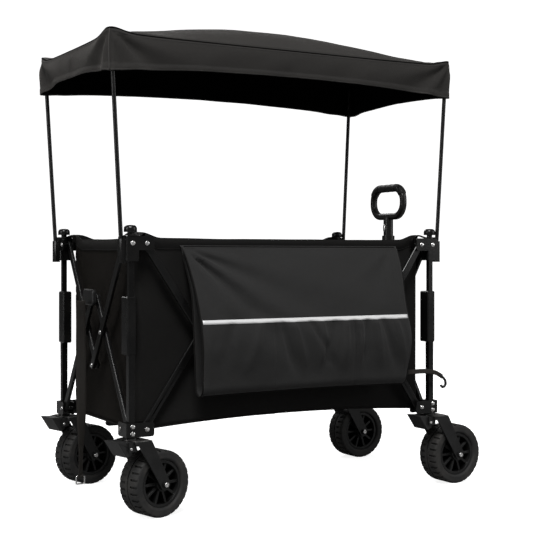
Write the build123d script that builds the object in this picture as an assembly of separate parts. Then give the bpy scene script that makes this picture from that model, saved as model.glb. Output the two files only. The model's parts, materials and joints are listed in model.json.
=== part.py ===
"""Folding pull wagon with a canopy: scissor frame, swivel casters, telescoping handle, soft basket.

Frame: +X points to the handle end, +Y to the wagon's left side, +Z up.
The origin lies on the ground at the centre of the four posts. All lengths are in millimetres.
"""
from build123d import *
from math import cos, radians, sin
import os

# Frame layout
post_x = 419.0  # half the distance between the front and rear posts
post_y = 224.0  # half the distance between the right and left posts
low_pivot_z = 204.0  # pivots in the foot brackets
pivot_rise = 420.7  # from a foot bracket's pivot to the top bracket's
open_angle = 34.0  # every scissor bar's tilt from vertical when the wagon is open
side_offset = 35.0  # post centre to the pivot of a side bar
side_hub_arm = 135.0  # a side bar's length from the crossing to the hub
end_offset = 26.0  # post centre to the pivot of an end bar

# Scissor bars and their rivets
bar_width = 18.0
bar_thickness = 8.0
bar_chamfer = 1.2
layer = 5.0  # a bar's mid-plane lies this far outside or inside the post centre line
pin_radius = 3.0
running_gap = 0.06
side_gap = 0.3
rivet_radius = 5.0
rivet_height = 2.0
washer_radius = 6.0

# Hubs between the bars
hub_plate_width = 26.0
hub_plate_thickness = 5.0
rear_hub_half = 34.0
rear_hub_depth = 10.0
rear_hub_rise = (-20.0, 18.0)  # below and above the rear high pivot
handle_plate_half = (28.0, 22.0)
handle_ear_y = (10.6, 15.6)
handle_ear_radius = 12.0
handle_pin_half = 18.0

# Posts
post_outer = 14.4
post_bore = 12.2
slider_outer = 11.8
slider_bore = 9.6
jacket_outer = 31.0
ear_gap = 12.5  # post centre to the inner faces of a bracket's ears
jacket_chamfer = 2.0
foot_bracket_z = (188.0, 220.0)
foot_rivet_inset = 8.0
top_bracket_z = (584.0, 641.0)
top_ear_z = (609.0, 641.0)
ear_corner = 6.0
ear_reach = 17.0  # side ears run this far past their pivot
end_ear_reach = 10.0
sleeve_half_x = 11.5
sleeve_y = (-9.0, 27.0)  # the sleeve reaches inward across the wagon
sleeve_z = (372.0, 504.0)
sleeve_chamfer = 2.5
slider_z = (392.0, 636.0)
plug_top = 214.0
knob_neck_radius = 7.0
knob_radius = 15.0
knob_crown = 9.0
knob_z = (650.0, 666.0)

# Canopy poles and their clamps
clamp_offset = 20.0
clamp_size = (17.0, 20.0)
clamp_z = (580.0, 634.0)
pole_radius = 5.0
pole_z = (584.0, 1091.0)
pole_top = (468.0, 230.0)

# Canopy
canopy_half = (478.0, 239.0)
canopy_z = (1008.0, 1099.0)
crown_rise = 72.0
cloth = 3.0

# Casters: lengths along the trail are from the swivel axis
wheel_radius = 77.0
tyre_width = 66.0
tyre_shoulder = 7.0
tread_depth = 4.0
tread_gap = 5.0
tread_count = 30
rim_radius = 54.0
rim_wall = 7.0
rim_web = 4.0
rim_hub_radius = 17.0
spoke_count = 10
spoke_width = 6.0
spoke_recess = 10.0
trail = 68.0
rear_turn = 14.0  # how far the rear casters have swivelled
front_turn = 2.0
stem_radius = 5.0
crown_s = (-12.0, 34.0)
crown_z = (172.0, 181.0)
race_radius = 15.0
race_height = 5.0
leg_inner = 36.0
leg_outer = 41.0
leg_outline = ((-8.0, 178.0), (32.0, 178.0), (80.0, 84.0), (60.0, 66.0))
leg_boss_radius = 13.0
axle_radius = 4.0
axle_head = (7.0, 5.0)  # radius and height of the axle's bolt heads
lug_s = (-27.0, -6.0)
lug_y = (28.0, 32.0)
lug_low_z = 159.0
pedal_pivot = (-20.0, 166.0)
pedal_pin_half = 30.0
pedal_half_width = 27.0
pedal_outline = ((-54.0, 184.0), (-14.0, 180.0), (-14.0, 152.0), (-28.0, 146.0))
pedal_chamfer = 1.5

# Handle
handle_x = 446.0
outer_tube_radius = 9.0
inner_tube_radius = 7.0
inner_tube_foot = 16.0  # the inner tube's end above the handle's pivot
eye_radius = 11.0
eye_half_width = 10.0
collar_z = (628.0, 652.0)
collar_radius = 17.5
grip_size = (158.0, 97.0)
grip_corner = 44.0
grip_opening = (124.0, 60.0)
grip_opening_corner = 28.0
grip_depth = 18.0
grip_round = 7.0
neck_radius = 13.5
neck_top = 704.0
neck_overlap = 8.0
neck_socket = 15.0

# Basket
basket_half = (398.0, 203.0)
basket_z = (197.0, 640.0)
basket_corner = 12.0
hem = 30.0

# Side sling: a section's numbers are front, back, top, bulge, seat and bottom
sling_half_length = 290.0
sling_outside = (-247.0, -241.0, 622.0, -288.0, -242.0, 272.0)
sling_inside = (-245.4, -244.2, 600.0, -285.0, -245.0, 275.0)
sling_belly = 5.0

# Floor
floor_pivot_x = 64.0
floor_z = 188.0
channel_half = (76.0, 11.0, 7.0)
channel_slot_half = 6.6
channel_roof = 4.0  # the slot stops this far above the pivots
channel_open_x = 50.0  # outward of this the roof is cut away for the struts
window_x = (10.0, 44.0)
window_z = (-3.0, 2.0)
floor_pin_half = 13.0
strut_end_x = 384.0
strut_width = 12.0
strut_foot_x = 238.0
strut_foot_z = (-9.0, -5.0)

# Rear strap and its ring
strap_x = (-467.0, -442.0)
strap_y = (2.0, 4.0)
strap_z = (48.0, 488.0)
ring_size = (24.0, 20.0)
ring_opening = (17.0, 11.0)
ring_thickness = 3.0
ring_overlap = 16.0

tilt = radians(open_angle)
corner_arm = pivot_rise / 2 / cos(tilt)  # bar length from a corner pivot to the crossing
side_cross_x = post_x - side_offset - corner_arm * sin(tilt)
side_hub_x = side_cross_x - side_hub_arm * sin(tilt)
end_hub_arm = (post_y - end_offset) / sin(tilt) - corner_arm
high_pivot_z = low_pivot_z + pivot_rise
cross_z = low_pivot_z + pivot_rise / 2
side_low_z = cross_z - side_hub_arm * cos(tilt)
side_high_z = cross_z + side_hub_arm * cos(tilt)
end_low_z = cross_z - end_hub_arm * cos(tilt)
end_high_z = cross_z + end_hub_arm * cos(tilt)
corners = {
    "rear_right": (-1, -1),
    "rear_left": (-1, 1),
    "front_right": (1, -1),
    "front_left": (1, 1),
}


def block(x, y, z):
    """A box given by its low and high limits along each axis."""
    size = [high - low for low, high in (x, y, z)]
    middle = [(low + high) / 2 for low, high in (x, y, z)]
    return Pos(*middle) * Box(*size)


def centred(half):
    """The limits of a span that is half each way from zero."""
    return -half, half


def above(base, span):
    """Limits given from a base height."""
    return base + span[0], base + span[1]


def rod(start, end, radius):
    """A round bar between two points."""
    start, end = Vector(*start), Vector(*end)
    plane = Plane(origin=start, z_dir=end - start)
    return extrude(plane * Circle(radius), amount=(end - start).length)


def both_ways(point, axis, half):
    """The two points at half each way from a point along an axis."""
    shift = Vector(*axis) * half
    middle = Vector(*point)
    return tuple(middle - shift), tuple(middle + shift)


def flat_bar(foot, head, axis, holes):
    """A flat bar with round ends from foot to head, bored along axis at each hole."""
    foot, head = Vector(*foot), Vector(*head)
    plane = Plane(origin=foot, x_dir=head - foot, z_dir=Vector(*axis))
    length = (head - foot).length
    shape = plane * Pos(length / 2, 0) * SlotCenterToCenter(length, bar_width)
    solid = extrude(shape, amount=bar_thickness / 2, both=True)
    rims = solid.faces().filter_by(Plane(origin=foot, z_dir=Vector(*axis))).edges()
    solid = chamfer(rims, bar_chamfer)
    for hole in holes:
        solid -= rod(*both_ways(hole, axis, bar_thickness), pin_radius + running_gap)
    return solid


def pin_from_bar(point, axis, inward):
    """A crossing rivet: through the next bar on the inward side, with a head at both ends."""
    middle = Vector(*point)
    step = Vector(*axis) * inward
    half = bar_thickness / 2
    far = half + 2 * (layer - half) + bar_thickness + side_gap
    shank = rod(tuple(middle), tuple(middle + step * far), pin_radius)
    head = rod(tuple(middle + step * far), tuple(middle + step * (far + rivet_height)), rivet_radius)
    outer = rod(tuple(middle - step * half), tuple(middle - step * (half + rivet_height)), rivet_radius)
    return shank + head + outer


# Scissor frame: each bar is drawn for the right rear, or the rear end, and mirrored


def side_top_bar():
    """Outer bar from the lower hub to the top bracket, with the crossing rivet."""
    y = -post_y - layer
    foot = (-side_hub_x, y, side_low_z)
    head = (side_offset - post_x, y, high_pivot_z)
    cross = (-side_cross_x, y, cross_z)
    return flat_bar(foot, head, (0, 1, 0), [foot, head]) + pin_from_bar(cross, (0, 1, 0), 1)


def side_foot_bar():
    """Inner bar from the foot bracket to the upper hub."""
    y = -post_y + layer
    foot = (side_offset - post_x, y, low_pivot_z)
    head = (-side_hub_x, y, side_high_z)
    cross = (-side_cross_x, y, cross_z)
    return flat_bar(foot, head, (0, 1, 0), [foot, head, cross])


def end_bar(side, top, outer, hub_pin):
    """End bar from a bracket on one side to the centre line.

    A top bar runs from the top bracket down to the low pivot, a foot bar up to the high one.
    The outer bar of a pair carries the crossing rivet.
    """
    x = -post_x - layer if outer else -post_x + layer
    bracket_point = (x, side * (post_y - end_offset), high_pivot_z if top else low_pivot_z)
    centre = (x, 0.0, end_low_z if top else end_high_z)
    cross_y = side * (post_y - end_offset - corner_arm * sin(tilt))
    cross = (x, cross_y, cross_z)
    holes = [bracket_point]
    if not hub_pin:
        holes.append(centre)
    if not outer:
        holes.append(cross)
    bar = flat_bar(bracket_point, centre, (1, 0, 0), holes)
    if outer:
        bar += pin_from_bar(cross, (1, 0, 0), 1)
    if hub_pin:
        bar += pin_from_bar(centre, (1, 0, 0), 1)
    return bar


def side_hub(z, bar_y):
    """Hub plate outside the bars, joining the middle pivots of one side."""
    face = bar_y - bar_thickness / 2 - side_gap
    back = face - hub_plate_thickness
    inner = bar_y + bar_thickness / 2 + side_gap
    plate = Plane.XZ.offset(-face) * Pos(0, z) * SlotCenterToCenter(2 * side_hub_x, hub_plate_width)
    solid = extrude(plate, amount=hub_plate_thickness)
    for x in (-side_hub_x, side_hub_x):
        solid += rod((x, back, z), (x, inner, z), pin_radius)
        solid += rod((x, inner, z), (x, inner + rivet_height, z), washer_radius)
        solid += rod((x, back, z), (x, back - rivet_height, z), rivet_radius)
    return solid


def centre_pin(z):
    """The pin of an end hub, through both layers of end bars at the rear."""
    outer = -post_x - layer - bar_thickness / 2 - side_gap
    inner = -post_x + layer + bar_thickness / 2 + side_gap
    pin = rod((outer, 0, z), (inner, 0, z), pin_radius)
    return pin + rod((inner, 0, z), (inner + rivet_height, 0, z), washer_radius)


def rear_upper_hub():
    """Moulded hub over the rear high pivot, which also holds the rear strap."""
    face = -post_x - layer - bar_thickness / 2 - side_gap
    body = block((face - rear_hub_depth, face), centred(rear_hub_half), above(end_high_z, rear_hub_rise))
    body = fillet(body.edges().filter_by(Axis.X), 9)
    body = chamfer(body.faces().sort_by(Axis.X)[0].edges(), 2.5)
    return body + centre_pin(end_high_z)


def handle_bracket():
    """Front low hub with two ears for the handle's pivot."""
    face = post_x + layer + bar_thickness / 2 + side_gap
    half_y, half_z = handle_plate_half
    radius = handle_ear_radius
    ear_in, ear_out = handle_ear_y
    flange = (face, face + hub_plate_thickness)
    plate = block(flange, centred(half_y), above(end_low_z, centred(half_z)))
    plate = fillet(plate.edges().filter_by(Axis.X), 8)
    ear = block((face + 4, handle_x + 2), handle_ear_y, above(end_low_z, centred(radius)))
    ear += rod((handle_x, ear_in, end_low_z), (handle_x, ear_out, end_low_z), radius)
    plate += ear
    plate += mirror(ear, about=Plane.XZ)
    plate += mirror(centre_pin(end_low_z), about=Plane.YZ)
    return plate + rod(*both_ways((handle_x, 0, end_low_z), (0, 1, 0), handle_pin_half), axle_radius)


# Posts, drawn at the rear right corner: the wagon's inside is towards +X and +Y


def at_post(solid, corner):
    """Moves a solid drawn about the origin to a corner, inside still inward."""
    along, across = corners[corner]
    placed = Pos(-post_x, -post_y, 0) * solid
    if along > 0:
        placed = mirror(placed, about=Plane.YZ)
    if across > 0:
        placed = mirror(placed, about=Plane.XZ)
    return placed


def bracket(jacket_z, ear_z, pivot_z, side_layer, end_layer):
    """Moulded corner: a jacket round the post with two clevises and their rivets."""
    half = jacket_outer / 2
    gap = ear_gap
    solid = block(centred(half), centred(half), jacket_z)
    solid = chamfer(solid.edges().filter_by(Axis.Z), jacket_chamfer)
    for y in ((-half, -gap), (gap, half)):
        ear = block((0, side_offset + ear_reach), y, ear_z)
        solid += fillet(ear.edges().filter_by(Axis.Y).sort_by(Axis.X)[-2:], ear_corner)
    for x in ((-half, -gap), (gap, half)):
        ear = block(x, (0, end_offset + end_ear_reach), ear_z)
        solid += fillet(ear.edges().filter_by(Axis.X).sort_by(Axis.Y)[-2:], ear_corner)
    pivots = (
        ((side_offset, 0, pivot_z), Vector(0, 1, 0), side_layer),
        ((0, end_offset, pivot_z), Vector(1, 0, 0), end_layer),
    )
    for point, axis, place in pivots:
        middle = Vector(*point)
        solid += rod(*both_ways(point, axis, half + rivet_height / 2), pin_radius)
        for way in (-1, 1):
            skin = tuple(middle + axis * way * half)
            proud = tuple(middle + axis * way * (half + rivet_height))
            bar_face = tuple(middle + axis * (place * layer + way * (bar_thickness / 2 + side_gap)))
            solid += rod(skin, proud, rivet_radius)
            solid += rod(bar_face, tuple(middle + axis * way * gap), rivet_radius)
    return solid


def lower_post(end_layer):
    """Outer tube with the foot bracket, the guide sleeve and the caster's bearing plug."""
    low, high = foot_bracket_z[0], sleeve_z[1]
    solid = block(centred(post_outer / 2), centred(post_outer / 2), (low, high))
    sleeve = block(centred(sleeve_half_x), sleeve_y, sleeve_z)
    solid += chamfer(sleeve.edges(), sleeve_chamfer)
    solid += bracket(foot_bracket_z, foot_bracket_z, low_pivot_z, 1, end_layer)
    solid -= block(centred(post_bore / 2), centred(post_bore / 2), (plug_top, high + 1))
    solid -= rod((0, 0, low - 1), (0, 0, plug_top + 1), stem_radius + running_gap)
    skin = -jacket_outer / 2
    for z in (low + foot_rivet_inset, foot_bracket_z[1] - foot_rivet_inset):
        solid += rod((0, skin, z), (0, skin - rivet_height, z), rivet_radius)
    return solid


def pole_line(z):
    """The canopy pole's centre at a height, in the rear right post's own frame."""
    share = (z - clamp_z[0]) / (pole_z[1] - clamp_z[0])
    x = -clamp_offset + share * (post_x + clamp_offset - pole_top[0])
    y = share * (post_y - pole_top[1])
    return x, y, z


def upper_post(end_layer):
    """Inner tube with the top bracket, the knob and the canopy pole's clamp."""
    low, high = slider_z
    solid = block(centred(slider_outer / 2), centred(slider_outer / 2), slider_z)
    solid -= block(centred(slider_bore / 2), centred(slider_bore / 2), (low - 1, top_bracket_z[0]))
    solid += bracket(top_bracket_z, top_ear_z, high_pivot_z, -1, end_layer)
    deep, wide = clamp_size
    clamp = block((-clamp_offset - deep / 2, -jacket_outer / 2 + 1), centred(wide / 2), clamp_z)
    solid += chamfer(clamp.edges().filter_by(Axis.Z).sort_by(Axis.X)[:2], 3)
    solid += rod((0, 0, top_bracket_z[1]), (0, 0, knob_z[0]), knob_neck_radius)
    cap = rod((0, 0, knob_z[0]), (0, 0, knob_z[1]), knob_radius)
    solid += fillet(cap.edges().sort_by(Axis.Z)[-1:], knob_crown)
    start, end = pole_line(clamp_z[0] - 5), pole_line(clamp_z[1] + 5)
    return solid - rod(start, end, pole_radius + running_gap)


def canopy_pole():
    """Round pole that stands in the clamp and leans out to the canopy's corner."""
    pole = rod(pole_line(pole_z[0]), pole_line(pole_z[1]), pole_radius)
    return fillet(pole.edges().sort_by(Axis.Z)[-1:], 2)


# Casters, drawn about the swivel axis with the trail along +X


def at_caster(solid, corner):
    """Moves a caster piece drawn about the origin under its post, swivelled."""
    along, across = corners[corner]
    turn = front_turn if along > 0 else rear_turn
    return Pos(along * post_x, across * post_y, 0) * Rot(0, 0, turn) * solid


def at_axle(solid):
    """Lays a solid drawn about +Z across the caster, centred on the axle."""
    return Pos(trail, 0, wheel_radius) * Rot(90, 0, 0) * solid


def tyre():
    """Wide rubber tyre with a rounded shoulder and blocks cut across the tread."""
    thickness = wheel_radius - rim_radius
    section = RectangleRounded(thickness, tyre_width, tyre_shoulder)
    solid = revolve(Plane.XZ * Pos(rim_radius + thickness / 2, 0) * section, Axis.Z)
    cut = (wheel_radius - tread_depth, wheel_radius + tread_depth)
    groove = block(cut, centred(tread_gap / 2), (9, tyre_width / 2 + 1))
    grooves = []
    for index in range(tread_count):
        turn = 360 / tread_count * index
        grooves.append(Rot(0, 0, turn) * groove)
        grooves.append(Rot(0, 0, turn + 180 / tread_count) * mirror(groove, about=Plane.XY))
    solid -= grooves
    ring = Circle(wheel_radius + tread_depth) - Circle(wheel_radius - tread_depth + 0.5)
    solid -= extrude(ring, amount=2, both=True)
    return at_axle(solid)


def rim():
    """Spoked rim with a deep barrel, a web and a hub bored for the axle."""
    half = tyre_width / 2
    inside = rim_radius - rim_wall + 2
    barrel = Circle(rim_radius - side_gap) - Circle(rim_radius - rim_wall)
    solid = extrude(barrel, amount=half - 5, both=True)
    solid += extrude(Circle(inside), amount=rim_web, both=True)
    solid += extrude(Circle(rim_hub_radius), amount=half + 1, both=True)
    spoke = block((12, inside), centred(spoke_width / 2), centred(half - spoke_recess))
    for index in range(spoke_count):
        solid += Rot(0, 0, 360 / spoke_count * index) * spoke
    solid -= extrude(Circle(axle_radius + running_gap), amount=half + 5, both=True)
    return at_axle(solid)


def fork():
    """Crown, two legs, the axle with its bolt heads, the swivel stem and the pedal's lugs."""
    solid = block(crown_s, centred(leg_outer), crown_z)
    solid = fillet(solid.edges().filter_by(Axis.Z), 6)
    solid += rod((0, 0, crown_z[1]), (0, 0, crown_z[1] + race_height), race_radius)
    solid += rod((0, 0, crown_z[1]), (0, 0, plug_top - 6), stem_radius)
    outline = Polygon(*leg_outline, align=None)
    head_radius, head_height = axle_head
    for side in (-1, 1):
        near, far = side * leg_inner, side * leg_outer
        middle = Plane.XZ.offset(-(near + far) / 2)
        leg = extrude(middle * outline, amount=(leg_outer - leg_inner) / 2, both=True)
        leg += rod((trail, near, wheel_radius), (trail, far, wheel_radius), leg_boss_radius)
        proud = far + side * head_height
        leg += rod((trail, far, wheel_radius), (trail, proud, wheel_radius), head_radius)
        solid += leg
        lug = sorted((side * lug_y[0], side * lug_y[1]))
        solid += block(lug_s, lug, (lug_low_z, crown_z[1]))
    solid += rod(*both_ways((trail, 0, wheel_radius), (0, 1, 0), leg_inner), axle_radius)
    s, z = pedal_pivot
    return solid + rod(*both_ways((s, 0, z), (0, 1, 0), pedal_pin_half), pin_radius)


def pedal():
    """Wedge-shaped brake pedal on the caster's leading side."""
    s, z = pedal_pivot
    outline = Polygon(*pedal_outline, align=None)
    solid = extrude(Plane.XZ * outline, amount=pedal_half_width, both=True)
    solid = chamfer(solid.edges().filter_by(Axis.Y), pedal_chamfer)
    return solid - rod(*both_ways((s, 0, z), (0, 1, 0), pedal_pin_half), pin_radius + running_gap)


# Handle


def handle_outer_tube():
    """Outer tube from the pivot eye to the collar, bored for the inner tube."""
    base = end_low_z
    low, high = collar_z
    solid = rod((handle_x, 0, base), (handle_x, 0, low + 1), outer_tube_radius)
    solid += rod((handle_x, 0, low), (handle_x, 0, high), collar_radius)
    solid += rod(*both_ways((handle_x, 0, base), (0, 1, 0), eye_half_width), eye_radius)
    bore = inner_tube_radius + running_gap
    solid -= rod((handle_x, 0, base + inner_tube_foot - 2), (handle_x, 0, high + 1), bore)
    eye = both_ways((handle_x, 0, base), (0, 1, 0), eye_half_width + 1)
    return solid - rod(*eye, axle_radius + running_gap)


def handle_inner_tube():
    """Telescoping tube."""
    foot = (handle_x, 0, end_low_z + inner_tube_foot)
    return rod(foot, (handle_x, 0, neck_top - neck_socket - 1), inner_tube_radius)


def handle_grip():
    """Closed loop grip on a short neck."""
    middle = neck_top - neck_overlap + grip_size[1] / 2
    loop = RectangleRounded(*grip_size, grip_corner)
    loop -= RectangleRounded(*grip_opening, grip_opening_corner)
    solid = extrude(Plane.YZ * loop, amount=grip_depth / 2, both=True)
    solid = fillet(solid.faces().filter_by(Axis.X).edges(), grip_round)
    solid = Pos(handle_x, 0, middle) * solid
    foot = collar_z[1]
    solid += rod((handle_x, 0, foot + side_gap), (handle_x, 0, neck_top), neck_radius)
    bore = inner_tube_radius + running_gap
    return solid - rod((handle_x, 0, foot), (handle_x, 0, neck_top - neck_socket), bore)


# Soft parts and floor


def vault(half_x, half_y, base, rise, skirt):
    """A crowned roof on straight walls, as a full solid down to skirt."""
    high = base + rise
    walls = block(centred(half_x), centred(half_y), (skirt, base))
    roofs = []
    for half, plane in ((half_x, Plane.XZ), (half_y, Plane.YZ)):
        arc = ThreePointArc((-half, base), (0, high), (half, base))
        outline = make_face(Wire([arc.edge(), Line((half, base), (-half, base)).edge()]))
        roofs.append(extrude(plane * outline, amount=2 * half_x, both=True))
    return walls + (roofs[0] & roofs[1])


def canopy_cover():
    """Cloth canopy: crowned top and a hanging valance, open below."""
    half_x, half_y = canopy_half
    skirt, base = canopy_z
    outer = vault(half_x, half_y, base, crown_rise, skirt)
    inner = vault(half_x - cloth, half_y - cloth, base - cloth, crown_rise, skirt - 10)
    return outer - inner


def basket():
    """Open-topped cloth basket with a thicker hem round its rim."""
    half_x, half_y = basket_half
    low, high = basket_z
    outer = block(centred(half_x), centred(half_y), basket_z)
    outer = fillet(outer.edges().filter_by(Axis.Z), basket_corner)
    inner = block(centred(half_x - cloth), centred(half_y - cloth), (low + cloth, high + 5))
    inner = fillet(inner.edges().filter_by(Axis.Z), basket_corner - cloth)
    thick = 2 * cloth
    mouth = block(centred(half_x - thick), centred(half_y - thick), (high - hem, high + 5))
    mouth = fillet(mouth.edges().filter_by(Axis.Z), basket_corner - thick)
    below = inner & block(centred(half_x), centred(half_y), (low, high - hem))
    return outer - below - mouth


def sling_outline(front, back, top, bulge, seat, bottom):
    """The sleeve's section: a bellied front, a round bottom and a straight back."""
    middle = (bulge + seat) / 2
    low = bottom + (seat - bulge) / 2
    halfway = ((front + bulge) / 2 - sling_belly, (top + low) / 2)
    belly = ThreePointArc((front, top), halfway, (bulge, low))
    under = ThreePointArc((bulge, low), (middle, bottom), (seat, low))
    rise = Polyline((seat, low), (back, top), (front, top))
    return make_face([*belly.edges(), *under.edges(), *rise.edges()])


def side_sling():
    """Long cloth sleeve hung along the right side, open at both ends."""
    section = sling_outline(*sling_outside) - sling_outline(*sling_inside)
    place = Plane.YZ.offset(-sling_half_length)
    return extrude(place * section, amount=2 * sling_half_length)


def floor_hub():
    """Slotted channel under the middle of the floor."""
    half_x, half_y, half_z = channel_half
    slot = centred(channel_slot_half)
    solid = block(centred(half_x), centred(half_y), above(floor_z, centred(half_z)))
    solid -= block(centred(half_x + 1), slot, above(floor_z, (-half_z - 1, channel_roof)))
    for way in (-1, 1):
        mouth = sorted((way * channel_open_x, way * (half_x + 1)))
        solid -= block(mouth, slot, above(floor_z, (0, half_z + 1)))
        x = way * floor_pivot_x
        solid += rod(*both_ways((x, 0, floor_z), (0, 1, 0), floor_pin_half), pin_radius)
        window = sorted((way * window_x[0], way * window_x[1]))
        solid -= block(window, centred(half_y + 1), above(floor_z, window_z))
    return solid


def floor_strut():
    """Front floor strut from the hub's channel outward."""
    shape = SlotCenterToCenter(strut_end_x - floor_pivot_x, strut_width)
    middle = (floor_pivot_x + strut_end_x) / 2
    solid = extrude(Plane.XZ * Pos(middle, floor_z) * shape, amount=strut_width / 2, both=True)
    pivot = both_ways((floor_pivot_x, 0, floor_z), (0, 1, 0), strut_width / 2 + 1)
    solid -= rod(*pivot, pin_radius + running_gap)
    low, high = above(floor_z, strut_foot_z)
    return solid + rod((strut_foot_x, 0, low), (strut_foot_x, 0, high), washer_radius)


def rear_strap():
    """Webbing strap hanging from the rear hub, with a flat metal ring at its end."""
    low, high = strap_z
    strap = block(strap_x, strap_y, (low + ring_overlap, high))
    loop = Rectangle(*ring_size) - Rectangle(*ring_opening)
    place = Plane.XZ * Pos(sum(strap_x) / 2, low + ring_size[1] / 2)
    ring = extrude(place * loop, amount=ring_thickness / 2, both=True)
    return strap + Pos(0, sum(strap_y) / 2, 0) * ring


def build():
    """Every node's solid by name."""
    nodes = {}
    shared = {"tyre": tyre(), "wheel_rim": rim(), "caster_fork": fork(), "brake_pedal": pedal()}
    pole = canopy_pole()
    for corner, (along, across) in corners.items():
        top_layer = -1 if across < 0 else 1
        nodes[corner + "_lower_post"] = at_post(lower_post(-top_layer), corner)
        nodes[corner + "_upper_post"] = at_post(upper_post(top_layer), corner)
        nodes[corner + "_canopy_pole"] = at_post(pole, corner)
        for name, solid in shared.items():
            nodes[corner + "_" + name] = at_caster(solid, corner)
    for kind, solid in (("top_bar", side_top_bar()), ("foot_bar", side_foot_bar())):
        front = mirror(solid, about=Plane.YZ)
        nodes["right_side_rear_" + kind] = solid
        nodes["right_side_front_" + kind] = front
        nodes["left_side_rear_" + kind] = mirror(solid, about=Plane.XZ)
        nodes["left_side_front_" + kind] = mirror(front, about=Plane.XZ)
    for side, across in (("right", -1), ("left", 1)):
        for kind in ("top_bar", "foot_bar"):
            top = kind == "top_bar"
            outer = top == (across < 0)
            rear = end_bar(across, top, outer, outer and top)
            front = end_bar(across, top, outer, outer and not top)
            nodes[f"rear_end_{side}_{kind}"] = rear
            nodes[f"front_end_{side}_{kind}"] = mirror(front, about=Plane.YZ)
    nodes["right_side_lower_hub"] = side_hub(side_low_z, -post_y - layer)
    nodes["right_side_upper_hub"] = side_hub(side_high_z, -post_y + layer)
    for level in ("lower", "upper"):
        hub = nodes[f"right_side_{level}_hub"]
        nodes[f"left_side_{level}_hub"] = mirror(hub, about=Plane.XZ)
    nodes["rear_end_upper_hub"] = rear_upper_hub()
    nodes["handle_bracket"] = handle_bracket()
    nodes["handle_outer_tube"] = handle_outer_tube()
    nodes["handle_inner_tube"] = handle_inner_tube()
    nodes["handle_grip"] = handle_grip()
    nodes["canopy_cover"] = canopy_cover()
    nodes["basket"] = basket()
    nodes["side_sling"] = side_sling()
    nodes["floor_hub"] = floor_hub()
    nodes["floor_front_strut"] = floor_strut()
    nodes["floor_rear_strut"] = mirror(nodes["floor_front_strut"], about=Plane.YZ)
    nodes["rear_strap"] = rear_strap()
    return nodes


os.makedirs("parts", exist_ok=True)
for name, solid in build().items():
    export_step(solid, f"parts/{name}.step")
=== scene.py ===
"""Looks of the folding pull wagon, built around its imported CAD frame. All lengths are in metres."""
import json
import math

import bmesh
import bpy
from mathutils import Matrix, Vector, noise


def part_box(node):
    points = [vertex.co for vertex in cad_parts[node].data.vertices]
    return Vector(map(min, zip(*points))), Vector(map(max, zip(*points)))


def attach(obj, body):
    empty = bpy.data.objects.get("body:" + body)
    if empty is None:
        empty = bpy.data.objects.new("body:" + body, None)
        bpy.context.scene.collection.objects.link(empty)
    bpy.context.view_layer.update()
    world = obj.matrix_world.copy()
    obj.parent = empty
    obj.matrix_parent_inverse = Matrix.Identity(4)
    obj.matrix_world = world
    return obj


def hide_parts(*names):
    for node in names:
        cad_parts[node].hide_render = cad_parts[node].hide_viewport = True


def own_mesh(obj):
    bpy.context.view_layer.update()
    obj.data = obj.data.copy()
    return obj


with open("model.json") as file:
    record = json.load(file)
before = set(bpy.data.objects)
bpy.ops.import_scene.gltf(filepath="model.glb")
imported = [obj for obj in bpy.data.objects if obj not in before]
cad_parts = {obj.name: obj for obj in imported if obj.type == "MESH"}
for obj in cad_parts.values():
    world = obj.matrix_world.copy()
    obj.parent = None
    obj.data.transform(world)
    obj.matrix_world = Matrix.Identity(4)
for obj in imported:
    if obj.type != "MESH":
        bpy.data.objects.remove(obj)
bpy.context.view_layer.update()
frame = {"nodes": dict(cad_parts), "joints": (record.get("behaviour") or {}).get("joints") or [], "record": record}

MM = 0.001
TINY = 1e-6
UP = Vector((0, 0, 1))
JOINTS = {joint["name"]: joint for joint in frame["joints"]}
ENDS = {"rear": -1, "front": 1}
SIDES = {"right": -1, "left": 1}
CORNERS = [(end, side) for end in ENDS for side in SIDES]


def pivot(name):
    """A joint's place at rest."""
    return Vector(JOINTS[name]["pos_m"])


def axis_of(name):
    """A joint's direction at rest."""
    return Vector(JOINTS[name]["axis"]).normalized()


def smooth(low, high, value):
    """Smooth step from 0 at low to 1 at high."""
    share = min(1.0, max(0.0, (value - low) / (high - low)))
    return share * share * (3 - 2 * share)


def bell(value, middle, width):
    """A bump of height 1."""
    return math.exp(-(((value - middle) / width) ** 2))


def spaced(low, high, count):
    """Evenly spaced values from low to high, in count steps."""
    return [low + (high - low) * n / count for n in range(count + 1)]


def circle(count):
    """The cosine and sine of count even steps round a circle."""
    turns = [2 * math.pi * n / count for n in range(count)]
    return [(math.cos(turn), math.sin(turn)) for turn in turns]


def ripple(point, size, seed=0.0):
    """Smooth noise between about -1 and 1 with features of a given size."""
    return noise.noise(Vector(point) / size + Vector((seed, seed * 1.7, -seed)))


# ---------------------------------------------------------------- materials


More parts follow.
